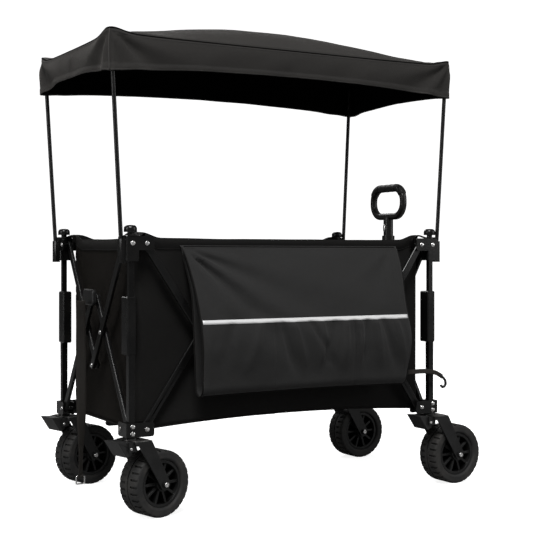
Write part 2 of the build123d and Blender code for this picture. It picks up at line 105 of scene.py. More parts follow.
class Shader:
    """One procedural material, built node by node."""

    def __init__(self, name):
        self.material = bpy.data.materials.new(name)
        self.material.use_nodes = True
        self.tree = self.material.node_tree
        self.surface = self.tree.nodes["Principled BSDF"]

    def node(self, kind, inputs=None, **settings):
        made = self.tree.nodes.new("ShaderNode" + kind)
        for key, value in settings.items():
            setattr(made, key, value)
        for key, value in (inputs or {}).items():
            self.give(made.inputs[key], value)
        return made

    def give(self, socket, value):
        if isinstance(value, bpy.types.NodeSocket):
            self.tree.links.new(value, socket)
        else:
            socket.default_value = value

    def place(self):
        return self.node("TexCoord").outputs["Object"]

    def uv(self):
        return self.node("UVMap").outputs["UV"]

    def math(self, operation, first, second=0.0):
        return self.node("Math", {0: first, 1: second}, operation=operation).outputs[0]

    def noise(self, place, scale, detail=2.0, rough=0.5):
        inputs = {"Vector": place, "Scale": scale, "Detail": detail, "Roughness": rough}
        return self.node("TexNoise", inputs).outputs["Fac"]

    def span(self, value, low, high, to_low=0.0, to_high=1.0):
        inputs = {"Value": value, "From Min": low, "From Max": high, "To Min": to_low, "To Max": to_high}
        return self.node("MapRange", inputs, clamp=True).outputs[0]

    def mix(self, share, first, second):
        made = self.node("Mix", data_type="RGBA")
        self.give(made.inputs[0], share)
        self.give(made.inputs[6], first)
        self.give(made.inputs[7], second)
        return made.outputs[2]

    def bump(self, height, strength, distance, normal=None):
        inputs = {"Height": height, "Strength": strength, "Distance": distance}
        if normal is not None:
            inputs["Normal"] = normal
        return self.node("Bump", inputs).outputs[0]

    def edge_wear_and_glint(self, radius, place, patchy=60.0):
        """Where a worn edge shows and where a painted edge highlight goes: 1 on convex edges, broken up by noise.
        """
        round_normal = self.node("Bevel", {"Radius": radius}, samples=4).outputs[0]
        flat_normal = self.node("NewGeometry").outputs["Normal"]
        match = self.node("VectorMath", {0: round_normal, 1: flat_normal}, operation="DOT_PRODUCT")
        edge = self.span(match.outputs["Value"], 0.99, 0.86)
        patches = self.span(self.noise(place, patchy, 4.0, 0.65), 0.42, 0.66)
        return self.math("MULTIPLY", edge, patches)

    def finish(self, **inputs):
        for key, value in inputs.items():
            self.give(self.surface.inputs[key.replace("_", " ")], value)
        return self.material


def grey(level, warm=0.0):
    """A near-neutral colour; warm pushes it a little to brown."""
    return (level * (1 + warm), level, level * (1 - warm), 1.0)


def coated_metal(name, level, roughness, warm=0.0):
    """Powder-coated tube: fine orange peel, faint dust, and edges painted paler, partly as worn coating and partly
    as a painted edge highlight.
    """
    sh = Shader(name)
    place = sh.place()
    peel = sh.noise(place, 1300.0, 3.0)
    cloud = sh.noise(place, 14.0, 4.0)
    wear_and_glint = sh.edge_wear_and_glint(1.2 * MM, place)
    dusty = sh.mix(sh.span(cloud, 0.4, 0.75, 0.0, 0.5), grey(level, warm), grey(level * 1.6 + 0.002, 0.06))
    # Convex edges painted paler and a little metallic: partly worn coating, partly a painted edge highlight.
    colour = sh.mix(sh.math("MULTIPLY", wear_and_glint, 0.25), dusty, grey(0.10, 0.03))
    return sh.finish(
        Base_Color=colour,
        Roughness=sh.span(cloud, 0.3, 0.8, roughness - 0.05, roughness + 0.12),
        Metallic=sh.math("MULTIPLY", wear_and_glint, 0.4),
        Specular_IOR_Level=0.30,
        Coat_Weight=0.05,
        Coat_Roughness=0.25,
        Normal=sh.bump(peel, 0.12, 0.15 * MM),
    )


def moulded_plastic(name, level, roughness, grain=900.0, warm=0.0):
    """Moulded plastic: spark-eroded grain, and scuffs with paler edges and corners, partly wear and partly a
    painted edge highlight.
    """
    sh = Shader(name)
    place = sh.place()
    pits = sh.noise(place, grain, 4.0, 0.7)
    cloud = sh.noise(place, 22.0, 5.0, 0.6)
    scuff_and_glint = sh.edge_wear_and_glint(1.6 * MM, place, 90.0)
    body = sh.mix(sh.span(cloud, 0.35, 0.75), grey(level, warm), grey(level * 1.5 + 0.003, warm))
    # Edges and corners painted paler: scuffs and a painted edge highlight.
    colour = sh.mix(sh.math("MULTIPLY", scuff_and_glint, 0.35), body, grey(level * 3 + 0.03, 0.02))
    return sh.finish(
        Base_Color=colour,
        Roughness=sh.span(cloud, 0.3, 0.8, roughness - 0.06, roughness + 0.12),
        Specular_IOR_Level=0.30,
        Normal=sh.bump(pits, 0.28, 0.25 * MM),
    )


def rubber(name, level):
    """Tread rubber: matt, slightly dusty in the grooves, with a fine skin."""
    sh = Shader(name)
    place = sh.place()
    skin = sh.noise(place, 620.0, 5.0, 0.65)
    cloud = sh.noise(place, 30.0, 5.0, 0.6)
    scuff_and_glint = sh.edge_wear_and_glint(1.5 * MM, place, 70.0)
    body = sh.mix(sh.span(cloud, 0.4, 0.7), grey(level), grey(level * 1.7 + 0.006, 0.07))
    # Tread edges painted paler: scuffs and a painted edge highlight.
    colour = sh.mix(sh.math("MULTIPLY", scuff_and_glint, 0.5), body, grey(level * 3 + 0.02, 0.04))
    return sh.finish(
        Base_Color=colour,
        Roughness=sh.span(cloud, 0.3, 0.8, 0.62, 0.85),
        Specular_IOR_Level=0.3,
        Normal=sh.bump(skin, 0.35, 0.3 * MM),
    )


def bright_metal(name, level, roughness, warm=0.0):
    """Zinc-plated steel with fine turning marks and a little tarnish."""
    sh = Shader(name)
    place = sh.place()
    fine = sh.noise(place, 2400.0, 2.0)
    cloud = sh.noise(place, 160.0, 4.0, 0.6)
    colour = sh.mix(sh.span(cloud, 0.4, 0.75), grey(level, warm), grey(level * 0.55, 0.06))
    return sh.finish(
        Base_Color=colour,
        Metallic=1.0,
        Roughness=sh.span(cloud, 0.3, 0.8, roughness - 0.06, roughness + 0.16),
        Normal=sh.bump(fine, 0.10, 0.1 * MM),
    )


def woven(name, low, high, pitch, sheen, warm, roughness=0.82, ribbed=False, bump=0.5, specular=0.16):
    """Plain weave on a sheet whose UVs are in metres: crossing threads, slubs, sheen and wear."""
    sh = Shader(name)
    uv = sh.uv()
    parts = sh.node("SeparateXYZ", {0: uv})
    place = sh.place()
    wander = sh.span(sh.noise(place, 55.0, 2.0), 0.0, 1.0, -0.35 * pitch, 0.35 * pitch)
    turns = 2 * math.pi / pitch
    waves = []
    for axis in (0, 1):
        phase = sh.math("MULTIPLY", sh.math("ADD", parts.outputs[axis], wander), turns)
        waves.append(sh.math("SINE", phase))
    cross = waves[1] if ribbed else sh.math("MULTIPLY", waves[0], waves[1])
    weave = sh.span(cross, -1.0, 1.0)
    slub = sh.noise(sh.node("Mapping", {0: uv, 3: (60.0, 900.0, 1.0)}).outputs[0], 1.0, 2.0)
    cloud = sh.noise(place, 5.0, 4.0, 0.55)
    tone = sh.math("ADD", sh.math("MULTIPLY", weave, 0.45), sh.math("MULTIPLY", cloud, 0.55))
    tone = sh.math("ADD", tone, sh.span(slub, 0.3, 0.7, -0.12, 0.12))
    colour = sh.mix(sh.span(tone, 0.2, 0.9), grey(low, warm), grey(high, warm))
    creases = sh.noise(place, 38.0, 5.0, 0.62)
    rough_skin = sh.bump(creases, 0.22, 1.6 * MM)
    threads = sh.bump(weave, bump, 0.35 * pitch, rough_skin)
    return sh.finish(
        Base_Color=colour,
        Roughness=sh.span(cloud, 0.3, 0.7, roughness - 0.05, roughness + 0.08),
        Specular_IOR_Level=specular,
        Sheen_Weight=sheen,
        Sheen_Roughness=0.45,
        Sheen_Tint=grey(0.75, warm),
        Normal=threads,
    )


GRID_PITCH = 3.2 * MM


def reflective_tape(name):
    """Pale retro-reflective tape: glass beads under a fine diamond grid."""
    sh = Shader(name)
    uv = sh.uv()
    parts = sh.node("SeparateXYZ", {0: uv})
    lines = []
    for sign in (1.0, -1.0):
        slant = sh.math("ADD", parts.outputs[0], sh.math("MULTIPLY", parts.outputs[1], sign))
        wave = sh.math("SINE", sh.math("MULTIPLY", slant, 2 * math.pi / GRID_PITCH))
        lines.append(sh.span(sh.math("ABSOLUTE", wave), 0.0, 0.12))
    grid = sh.math("MULTIPLY", lines[0], lines[1])
    beads = sh.node("TexVoronoi", {"Vector": uv, "Scale": 2600.0}).outputs["Distance"]
    cloud = sh.noise(sh.place(), 20.0, 3.0)
    tone = sh.math("MULTIPLY", grid, sh.span(cloud, 0.3, 0.8, 1.0, 0.82))
    colour = sh.mix(tone, grey(0.50), grey(0.66))
    return sh.finish(
        Base_Color=colour,
        Roughness=0.42,
        Specular_IOR_Level=0.5,
        Metallic=0.15,
        Normal=sh.bump(beads, 0.2, 0.2 * MM, sh.bump(grid, 0.2, 0.15 * MM)),
    )


LOOKS = {
    "tyre": rubber("tread_rubber", 0.014),
    "rim": moulded_plastic("rim_plastic", 0.004, 0.40),
    "fork": moulded_plastic("fork_plastic", 0.005, 0.34),
    "pedal": moulded_plastic("pedal_plastic", 0.010, 0.42),
    "pole": coated_metal("pole_coat", 0.004, 0.24),
    "post": coated_metal("post_coat", 0.0025, 0.24),
    "bar": coated_metal("bar_coat", 0.003, 0.28),
    "hub": moulded_plastic("hub_plastic", 0.005, 0.36),
    "handle_tube": coated_metal("handle_coat", 0.006, 0.30, 0.10),
    "grip": moulded_plastic("grip_plastic", 0.006, 0.28, 700.0, 0.06),
}
CANOPY_CLOTH = woven("canopy_weave", 0.012, 0.026, 1.5 * MM, 0.08, 0.06)
# Inner face of the canopy: near black, painted shade under the roof and hanging edge.
CANOPY_UNDERSIDE_SHADE = woven("canopy_underside_painted_shade", 0.0008, 0.0016, 1.5 * MM, 0.0, 0.0, 0.95, specular=0.02)
# Binding cloth about twice as light as the canopy: a painted highlight of the thick hem edge, also used on the
# corner seams.
CANOPY_BINDING_GLINT = woven("canopy_binding_painted_highlight", 0.030, 0.055, 1.1 * MM, 0.12, 0.05, 0.8, True)
BASKET_CLOTH = woven("basket_weave", 0.004, 0.010, 1.6 * MM, 0.05, 0.04, specular=0.12)
# The end walls' cloth: darker than the side walls as painted shade, over the cloth's own brown tint.
END_CLOTH_SHADED = woven("end_panel_weave_painted_shade", 0.0015, 0.0045, 1.6 * MM, 0.02, 0.14, specular=0.07)
BASKET_HEM = woven("basket_hem_weave", 0.003, 0.007, 1.2 * MM, 0.03, 0.04, 0.8, specular=0.10)
SLING_CLOTH = woven("sling_weave", 0.012, 0.024, 1.6 * MM, 0.08, 0.01)
WEBBING = woven("strap_webbing", 0.008, 0.020, 1.8 * MM, 0.06, 0.12, 0.75, True, 0.8)
THREAD = woven("sewing_thread", 0.012, 0.028, 0.6 * MM, 0.05, 0.0, 0.7, True)
# Near-black cord cloth: painted shade of the crease along the canopy's eave.
EAVE_CREASE_SHADE = woven("eave_crease_shade_cord", 0.0010, 0.0024, 0.8 * MM, 0.0, 0.0, 0.9, True, specular=0.03)
SOFT_GRIP = moulded_plastic("soft_grip", 0.004, 0.50, 1100.0)
TAPE = reflective_tape("reflective_tape")
STEEL = bright_metal("zinc_steel", 0.85, 0.24)
PLATED = bright_metal("plated_plate", 0.30, 0.34, 0.02)


# ---------------------------------------------------------------- mesh helpers


def new_piece(name, bm, body, materials, smooth_faces=True):
    """Turns a bmesh into a named piece that rides on a body."""
    mesh = bpy.data.meshes.new(name)
    for face in bm.faces:
        face.smooth = smooth_faces
    bm.normal_update()
    bm.to_mesh(mesh)
    bm.free()
    for material in materials:
        mesh.materials.append(material)
    piece = bpy.data.objects.new(name, mesh)
    bpy.context.scene.collection.objects.link(piece)
    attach(piece, body)
    return piece


def add_grid(bm, points, closed=False, material=0):
    """Adds a grid of points as a sheet, with UVs in metres along its rows and columns."""
    uv_layer = bm.loops.layers.uv.verify()
    rows, columns = len(points), len(points[0])
    verts = [[bm.verts.new(point) for point in row] for row in points]
    middle = points[rows // 2]
    across = [0.0]
    for j in range(1, columns + (1 if closed else 0)):
        across.append(across[-1] + (Vector(middle[j % columns]) - Vector(middle[j - 1])).length)
    down = [0.0]
    for i in range(1, rows):
        down.append(down[-1] + (Vector(points[i][columns // 2]) - Vector(points[i - 1][columns // 2])).length)
    spans = columns if closed else columns - 1
    for i in range(rows - 1):
        for j in range(spans):
            following = (j + 1) % columns
            corners = (verts[i][j], verts[i][following], verts[i + 1][following], verts[i + 1][j])
            places = ((j, i), (j + 1, i), (j + 1, i + 1), (j, i + 1))
            face = bm.faces.new(corners)
            face.material_index = material(i) if callable(material) else material
            for loop, (a, b) in zip(face.loops, places):
                loop[uv_layer].uv = (across[a], down[b])
    return verts


def add_loft(bm, rings):
    """Adds closed rings as a skin with both ends capped."""
    verts = add_grid(bm, rings, closed=True)
    bm.faces.new(verts[0][::-1])
    bm.faces.new(verts[-1])


def add_ring(bm, rings):
    """Adds closed rings as a skin that runs back into its first ring."""
    add_grid(bm, rings + [rings[0]], closed=True)
    bmesh.ops.remove_doubles(bm, verts=bm.verts, dist=0.01 * MM)
    bmesh.ops.recalc_face_normals(bm, faces=bm.faces)


def solidify(piece, thickness, offset=0.0, lining=None):
    """Gives a sheet its thickness; lining is the material step for the inner face."""
    modifier = piece.modifiers.new("thickness", "SOLIDIFY")
    modifier.thickness = thickness
    modifier.offset = offset
    if lining is not None:
        modifier.material_offset = lining
    return piece


def make_sheet(name, points, body, materials, thickness, offset=0.0, material=0):
    """A grid of points as a piece of cloth with a thickness."""
    bm = bmesh.new()
    add_grid(bm, points, material=material)
    bmesh.ops.recalc_face_normals(bm, faces=bm.faces)
    return solidify(new_piece(name, bm, body, materials), thickness, offset)


def frames_along(path):
    """Direction at each point of a path."""
    found = []
    for k in range(len(path)):
        ahead = path[min(k + 1, len(path) - 1)] - path[max(k - 1, 0)]
        found.append(ahead.normalized())
    return found


def add_tube(bm, path, radius, sides=8, outward=UP):
    """Adds a round tube along a path, its seam turned by outward."""
    path = [Vector(point) for point in path]
    rings = []
    for point, ahead in zip(path, frames_along(path)):
        side = ahead.cross(outward)
        side = side.normalized() if side.length > 1e-6 else ahead.orthogonal().normalized()
        lift = side.cross(ahead).normalized()
        rings.append([point + side * c * radius + lift * s * radius for c, s in circle(sides)])
    add_loft(bm, rings)


def add_turned(bm, centre, axis, profile, sides=24):
    """Adds a turned shape whose profile is (radius, height) along the axis."""
    axis = Vector(axis).normalized()
    side = axis.orthogonal().normalized()
    other = axis.cross(side)
    rings = []
    for radius, height in profile:
        middle = Vector(centre) + axis * height
        rings.append([middle + (side * c + other * s) * radius for c, s in circle(sides)])
    add_loft(bm, rings)


def add_stitches(bm, path, outward, pitch=4.6 * MM, length=3.2 * MM, radius=0.45 * MM):
    """Adds a row of stitches on a path: each a small tube that dips into the cloth at both ends."""
    path = [Vector(point) for point in path]
    lengths = [0.0]
    for k in range(1, len(path)):
        lengths.append(lengths[-1] + (path[k] - path[k - 1]).length)

    def at(distance):
        k = 1
        while k < len(lengths) - 1 and lengths[k] < distance:
            k += 1
        share = (distance - lengths[k - 1]) / max(lengths[k] - lengths[k - 1], 1e-9)
        return path[k - 1].lerp(path[k], share)

    count = int(lengths[-1] / pitch)
    for n in range(count):
        start = n * pitch + (pitch - length) / 2
        lift = outward(at(start + length / 2)) if callable(outward) else Vector(outward)
        points = []
        for share, height in ((0.0, -0.3), (0.25, 0.35), (0.75, 0.35), (1.0, -0.3)):
            points.append(at(start + length * share) + lift * radius * height)
        add_tube(bm, points, radius, sides=5, outward=lift)


def edge_cord(name, paths, radius, body, material):
    """One piece holding cords along several paths."""
    bm = bmesh.new()
    for path in paths:
        add_tube(bm, path, radius)
    return new_piece(name, bm, body, [material])


def stitch_piece(name, rows, body):
    """One piece holding several rows of stitches, each a (path, outward) pair."""
    bm = bmesh.new()
    for path, outward in rows:
        add_stitches(bm, path, outward)
    return new_piece(name, bm, body, [THREAD])


# ---------------------------------------------------------------- finishes of the CAD parts

EDGE_ROUND = {
    "tyre": 0.7 * MM,
    "rim": 0.8 * MM,
    "fork": 0.9 * MM,
    "pedal": 1.0 * MM,
    "post": 1.0 * MM,
    "hub": 0.9 * MM,
    "bar": 0.5 * MM,
}
SHARP_ANGLE = 38


def dress_cad_nodes():
    """Every CAD part that stays gets its procedural finish and softened edges."""
    slots = {row["node"]: row["material_slot"] for row in frame["record"]["subparts"]}
    for name, node in frame["nodes"].items():
        look = LOOKS.get(slots[name])
        if look is None:
            continue
        node.data.materials.clear()
        node.data.materials.append(look)
        width = EDGE_ROUND.get(slots[name])
        if width:
            node.modifiers.new("weld", "WELD").merge_threshold = 0.01 * MM
            bevel = node.modifiers.new("edges", "BEVEL")
            bevel.width = width
            bevel.segments = 2
            bevel.limit_method = "ANGLE"
            bevel.angle_limit = math.radians(SHARP_ANGLE)
            bevel.use_clamp_overlap = True
            bevel.harden_normals = True


dress_cad_nodes()


# ---------------------------------------------------------------- canopy

canopy_low, canopy_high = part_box("canopy_cover")
pole_low, pole_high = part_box("rear_right_canopy_pole")
ROOF_X, ROOF_Y = canopy_high.x, canopy_high.y
SKIRT_Z = canopy_low.z
EAVE_Z = pole_high.z + 5 * MM
CROWN = canopy_high.z - EAVE_Z - 8 * MM
PEAK_X, PEAK_Y = abs(pole_low.x) - 5 * MM, abs(pole_low.y) - 5 * MM
ROOF_CORNER = 16 * MM
SKIRT_DROP = 85 * MM  # about how deep the hanging edge is
SKIRT_CLOTH = 90 * MM  # the cloth used by that depth
CANOPY_HEM = 13 * MM
CANOPY_EDGE = 3.5 * MM
CANOPY_GRID = (110, 58, 12)  # steps along, across and down the hanging edge
LONG_FOLDS = ((12, 8, 6.5), (29, 9, -6.5), (46, 9, 7.5), (66, 9, -6.0))  # degrees, width, rise in mm
END_FOLDS = ((20, 13, 8.0), (48, 13, -6.5), (74, 11, 6.0))


def roof_height(x, y):
    """The taut crowned roof, with small peaks over the pole tips and soft slack between."""
    along, across = abs(x) / ROOF_X, abs(y) / ROOF_Y
    crown = CROWN * (1 - along ** 2.0) * (1 - across ** 3.0)
    dx, dy = abs(x) - PEAK_X, abs(y) - PEAK_Y
    reach = math.hypot(dx, dy)
    angle = math.atan2(dy, dx)
    peak = 11 * MM * bell(reach, 0.0, 34 * MM)
    slack = -4 * MM * bell(across, 1.0, 0.16) * (1 - along ** 4)
    slack -= 7 * MM * bell(along, 1.0, 0.10) * (1 - across ** 4)
    pleats = 3.0 * MM * math.sin(9 * angle + 1.3 * math.copysign(1, x)) * bell(reach, 75 * MM, 55 * MM)
    drift = 2.2 * MM * ripple((x, y, 0), 0.16, 3.1) + 0.9 * MM * ripple((x, y, 0), 0.05, 5.2)
    edge = min(1 - along, 1 - across)
    return EAVE_Z + crown + peak + slack + pleats * smooth(0, 0.05, edge) + drift * smooth(0, 0.2, edge)


def soften_corner(x, y):
    """Pulls a point of the square plan in to a rounded corner."""
    inner_x, inner_y = ROOF_X - ROOF_CORNER, ROOF_Y - ROOF_CORNER
    dx, dy = abs(x) - inner_x, abs(y) - inner_y
    if dx <= 0 or dy <= 0:
        return x, y
    shrink = max(dx, dy) / math.hypot(dx, dy)
    return math.copysign(inner_x + dx * shrink, x), math.copysign(inner_y + dy * shrink, y)


def fan(run, fall, folds, near, length, turned=0.0):
    """Folds fanning out from a corner, at run along the cloth and fall below the corner.

    Each is (degrees down, width in degrees, height in mm). They rise over near and fade over length.
    """
    reach = math.hypot(run, fall)
    angle = math.degrees(math.atan2(fall, max(run, TINY)))
    height = sum(rise * bell(angle, direction + turned, width) for direction, width, rise in folds)
    return height * MM * smooth(near[0], near[1], reach) * math.exp(-reach / length)


def valance_point(x, y, outward, share):
    """A point of the hanging edge, share 0 at the eave and 1 at the hem."""
    eave = roof_height(x, y)
    long_side = abs(outward.y) > abs(outward.x)
    along = abs(x) / ROOF_X if long_side else abs(y) / ROOF_Y
    half = ROOF_X if long_side else ROOF_Y
    position = x if long_side else y
    lift = (19 * MM if long_side else 14 * MM) * (1 - along ** 2.2)
    bottom = SKIRT_Z + lift
    z = eave + (bottom - eave) * share
    run = half - abs(position)
    seed = math.copysign(1, position) + 2.3 * outward.x + 4.1 * outward.y
    drop = share * (eave - bottom)
    folds = LONG_FOLDS if long_side else END_FOLDS
    proud = fan(run, drop, folds, (4 * MM, 50 * MM), 220 * MM, 3 * math.sin(seed))
    slanted = (position + 0.9 * drop, 0.3 * drop, seed)
    proud += 3.2 * MM * smooth(0.1, 0.6, share) * ripple(slanted, 0.075, seed + 9)
    proud += 4.5 * MM * math.sin(math.pi * share ** 0.8) * (1 - along ** 6)
    proud += 3.5 * MM * share * ripple((position, seed, 0), 0.11, seed)
    proud += 1.2 * MM * share * ripple((position, z * 0.6, seed), 0.035, seed + 2)
    tuck = -1.6 * MM * bell(share, 0.0, 0.05)
    return Vector((x, y, z)) + outward * (proud + tuck)


def build_canopy():
    """One continuous sheet: the crowned roof, turned over the eave into the hanging edge."""
    bm = bmesh.new()
    uv_layer = bm.loops.layers.uv.verify()
    count_x, count_y, depth = CANOPY_GRID
    roof = []
    for x in spaced(-ROOF_X, ROOF_X, count_x):
        plan = [soften_corner(x, y) for y in spaced(-ROOF_Y, ROOF_Y, count_y)]
        roof.append([bm.verts.new((px, py, roof_height(px, py))) for px, py in plan])
    for i in range(count_x):
        for j in range(count_y):
            face = bm.faces.new((roof[i][j], roof[i + 1][j], roof[i + 1][j + 1], roof[i][j + 1]))
            for loop in face.loops:
                loop[uv_layer].uv = loop.vert.co.xy
    rim = [roof[i][0] for i in range(count_x)] + [roof[count_x][j] for j in range(count_y)]
    rim += [roof[i][count_y] for i in range(count_x, 0, -1)] + [roof[0][j] for j in range(count_y, 0, -1)]
    count = len(rim)
    outwards, run = [], [0.0]
    for k, vert in enumerate(rim):
        ahead = (rim[(k + 1) % count].co - rim[k - 1].co).normalized()
        outwards.append(Vector((ahead.y, -ahead.x, 0)).normalized())
        run.append(run[-1] + (rim[(k + 1) % count].co - vert.co).length)
    hem, edge = 1 - CANOPY_HEM / SKIRT_DROP, 1 - CANOPY_EDGE / SKIRT_DROP
    shares = [0.02, 0.05] + spaced(0.1, hem, depth) + [hem + 0.01, edge, 1.0]
    last = rim
    drops = [0.0] + shares
    paths = []
    for n, share in enumerate(shares):
        hem_zone = share > hem + 0.005
        ring = []
        for vert, outward in zip(rim, outwards):
            point = valance_point(vert.co.x, vert.co.y, outward, share)
            ring.append(bm.verts.new(point + outward * (0.9 * MM if hem_zone else 0.0)))
        for k in range(count):
            following = (k + 1) % count
            face = bm.faces.new((last[following], last[k], ring[k], ring[following]))
            # The hem's bottom strip takes the lighter binding: a painted highlight of the thick edge.
            face.material_index = 2 if share > edge + TINY else 0
            places = ((k + 1, n), (k, n), (k, n + 1), (k + 1, n + 1))
            for loop, (a, b) in zip(face.loops, places):
                loop[uv_layer].uv = (run[a], -drops[b] * SKIRT_CLOTH)
        last = ring
        paths.append([vert.co.copy() for vert in ring])
    cloths = [CANOPY_CLOTH, CANOPY_UNDERSIDE_SHADE, CANOPY_BINDING_GLINT]
    return new_piece("canopy_sheet", bm, "canopy_cover", cloths), paths, outwards


def canopy_corner_seams():
    """A raised seam down each corner of the hanging edge."""
    bm = bmesh.new()
    for end, side in CORNERS:
        sx, sy = ENDS[end], SIDES[side]
        x, y = soften_corner(sx * ROOF_X, sy * ROOF_Y)
        outward = Vector((sx, sy, 0)).normalized()
        path = [valance_point(x, y, outward, share) + outward * 0.5 * MM for share in spaced(0, 1, 12)]
        add_tube(bm, path, 1.0 * MM, 8, outward)
    return bm


def make_canopy():
    sheet, paths, outwards = build_canopy()
    # The inner face takes the near-black underside material, painted shade.
    solidify(sheet, 1.1 * MM, 0.0, 1)
    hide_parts("canopy_cover")
    seam_mesh = canopy_corner_seams()
    seams = new_piece("canopy_corner_seams", seam_mesh, "canopy_cover", [CANOPY_BINDING_GLINT])
    # A near-black cord along the eave: painted shade of the crease where the roof turns down into the hanging
    # edge.
    eave = [point + outward * 0.9 * MM for point, outward in zip(paths[0], outwards)]
    eave.append(eave[0])
    cord = edge_cord("canopy_eave_crease_shade", [eave], 1.5 * MM, "canopy_cover", EAVE_CREASE_SHADE)
    rows = []
    for path in (paths[2], paths[-4]):
        ring = [point + outward * 0.7 * MM for point, outward in zip(path, outwards)]
        rows.append((ring + [ring[0]], canopy_outward))
    stitches = stitch_piece("canopy_stitching", rows, "canopy_cover")
    for piece in (sheet, seams, cord, stitches):
        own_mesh(piece)


def canopy_outward(point):
    """The outward direction of the hanging edge's wall at a point."""
    if abs(point.x) > ROOF_X - 12 * MM:
        return Vector((math.copysign(1, point.x), 0, 0))
    return Vector((0, math.copysign(1, point.y), 0))


make_canopy()


# ---------------------------------------------------------------- basket

basket_low, basket_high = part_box("basket")
BASKET_X, BASKET_Y = basket_high.x, basket_high.y
RIM_Z, FLOOR_Z = basket_high.z, basket_low.z + 1 * MM
BASKET_CORNER = 14 * MM
WALL_DROP = 440 * MM
HEM = 26 * MM


def gather_long(piece):
    """Gives a piece of cloth along a side its own mesh."""
    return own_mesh(piece)


def gather_wide(piece):
    """Gives a piece of cloth across an end its own mesh."""
    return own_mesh(piece)


def rim_height(x, y):
    """The rim dips a little between the corners and lifts to them."""
    along, across = abs(x) / BASKET_X, abs(y) / BASKET_Y
    dip = 3.5 * MM * (1 - min(along, across) ** 6)
    wave = 1.2 * MM * ripple((x, y, 0), 0.11, 7.0)
    lift = 11 * MM * (1 - smooth(16 * MM, 62 * MM, BASKET_X - abs(x) + BASKET_Y - abs(y)))
    return RIM_Z - dip + wave + lift


def foot_height(x):
    """The lower edge is pulled up towards the middle of a side."""
    return FLOOR_Z + 16 * MM * (1 - (x / BASKET_X) ** 2)


def basket_skin(x, y, outward, share):
    """A point of the basket's wall, share 0 at the rim and 1 at the lower edge."""
    top, foot = rim_height(x, y), foot_height(x)
    z = top + (foot - top) * share
    half, position = (BASKET_X, abs(x)) if abs(outward.y) > abs(outward.x) else (BASKET_Y, abs(y))
    loose = math.sin(math.pi * share) * (1 - (position / half) ** 4)
    seed = 11.0 + 3 * outward.x + 5 * outward.y
    proud = -5 * MM * loose
    proud += 4.0 * MM * loose * ripple((x, y, z), 0.14, seed)
    proud += 1.8 * MM * loose * ripple((x, y, z * 1.6), 0.05, seed + 3)
    run = half - position
    for depth, height in ((share, 1.6), (1 - share, 1.3)):
        angle = math.atan2(depth * (top - foot), max(run, TINY))
        reach = math.hypot(depth * (top - foot), run)
        fade = smooth(5 * MM, 40 * MM, reach) * math.exp(-reach / 0.13)
        proud += height * MM * math.sin(9 * angle + seed) * fade
    return Vector((x, y, z)) + outward * (proud - 0.8 * MM)


def basket_corner_path(sx, sy):
    """The rounded corner from the side wall round to the end wall, as (x, y, outward)."""
    cx, cy = sx * (BASKET_X - BASKET_CORNER), sy * (BASKET_Y - BASKET_CORNER)
    found = []
    for turn in spaced(0, math.pi / 2, 6):
        outward = Vector((sx * math.sin(turn), sy * math.cos(turn), 0))
        found.append((cx + outward.x * BASKET_CORNER, cy + outward.y * BASKET_CORNER, outward))
    return found


def wall_piece(name, path, body, cloth):
    """One wall as a sheet with a doubled hem at its rim, and the points it is made of."""
    hem = HEM / WALL_DROP
    points = []
    for share in [0.0, hem * 0.5, hem, hem * 1.08] + spaced(0.08, 1.0, 38):
        extra = 1.1 * MM if share <= hem + TINY else 0.0
        points.append([basket_skin(x, y, outward, share) + outward * extra for x, y, outward in path])
    cloths = [cloth, BASKET_HEM]
    return make_sheet(
        name, points, body, cloths, 1.3 * MM, material=lambda row: 1 if row < 2 else 0
    ), points


def make_basket():
    """Two side walls that turn the corners, two end walls between them, and their edges."""
    flat_x, flat_y = BASKET_X - BASKET_CORNER, BASKET_Y - BASKET_CORNER
    for side, sy in SIDES.items():
        straight = [(x, sy * BASKET_Y, Vector((0, sy, 0))) for x in spaced(-flat_x, flat_x, 96)[1:-1]]
        path = basket_corner_path(-1, sy)[::-1] + straight + basket_corner_path(1, sy)
        body = f"rear_{side}_upper_post"
        piece, points = wall_piece(f"basket_{side}_wall", path, body, BASKET_CLOTH)
        if side == "right":
            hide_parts("basket")
        outwards = [outward for _, _, outward in path]
        hem = [point + outward * 0.9 * MM for point, outward in zip(points[2], outwards)]
        lines = stitch_piece(f"basket_{side}_stitching", [(hem, Vector((0, sy, 0)))], body)
        lower = [point + outward * 0.5 * MM for point, outward in zip(points[-1], outwards)]
        seams = [[row[k] + outwards[k] * 0.6 * MM for row in points] for k in (0, -1)]
        cord = edge_cord(f"basket_{side}_piping", [lower] + seams, 2.0 * MM, body, BASKET_HEM)
        for soft in (piece, lines, cord):
            gather_long(soft)
    for end, sx in ENDS.items():
        path = [(sx * BASKET_X, y, Vector((sx, 0, 0))) for y in spaced(-flat_y, flat_y, 44)]
        body = f"{end}_right_upper_post"
        # End walls take the darker end cloth, painted shade.
        piece, points = wall_piece(f"basket_{end}_wall", path, body, END_CLOTH_SHADED)
        hem = [point + Vector((sx * 0.9 * MM, 0, 0)) for point in points[2]]
        lines = stitch_piece(f"basket_{end}_stitching", [(hem, Vector((sx, 0, 0)))], body)
        lower = [point + Vector((sx * 0.5 * MM, 0, 0)) for point in points[-1]]
        cord = edge_cord(f"basket_{end}_piping", [lower], 2.0 * MM, body, BASKET_HEM)
        for soft in (piece, lines, cord):
            gather_wide(soft)


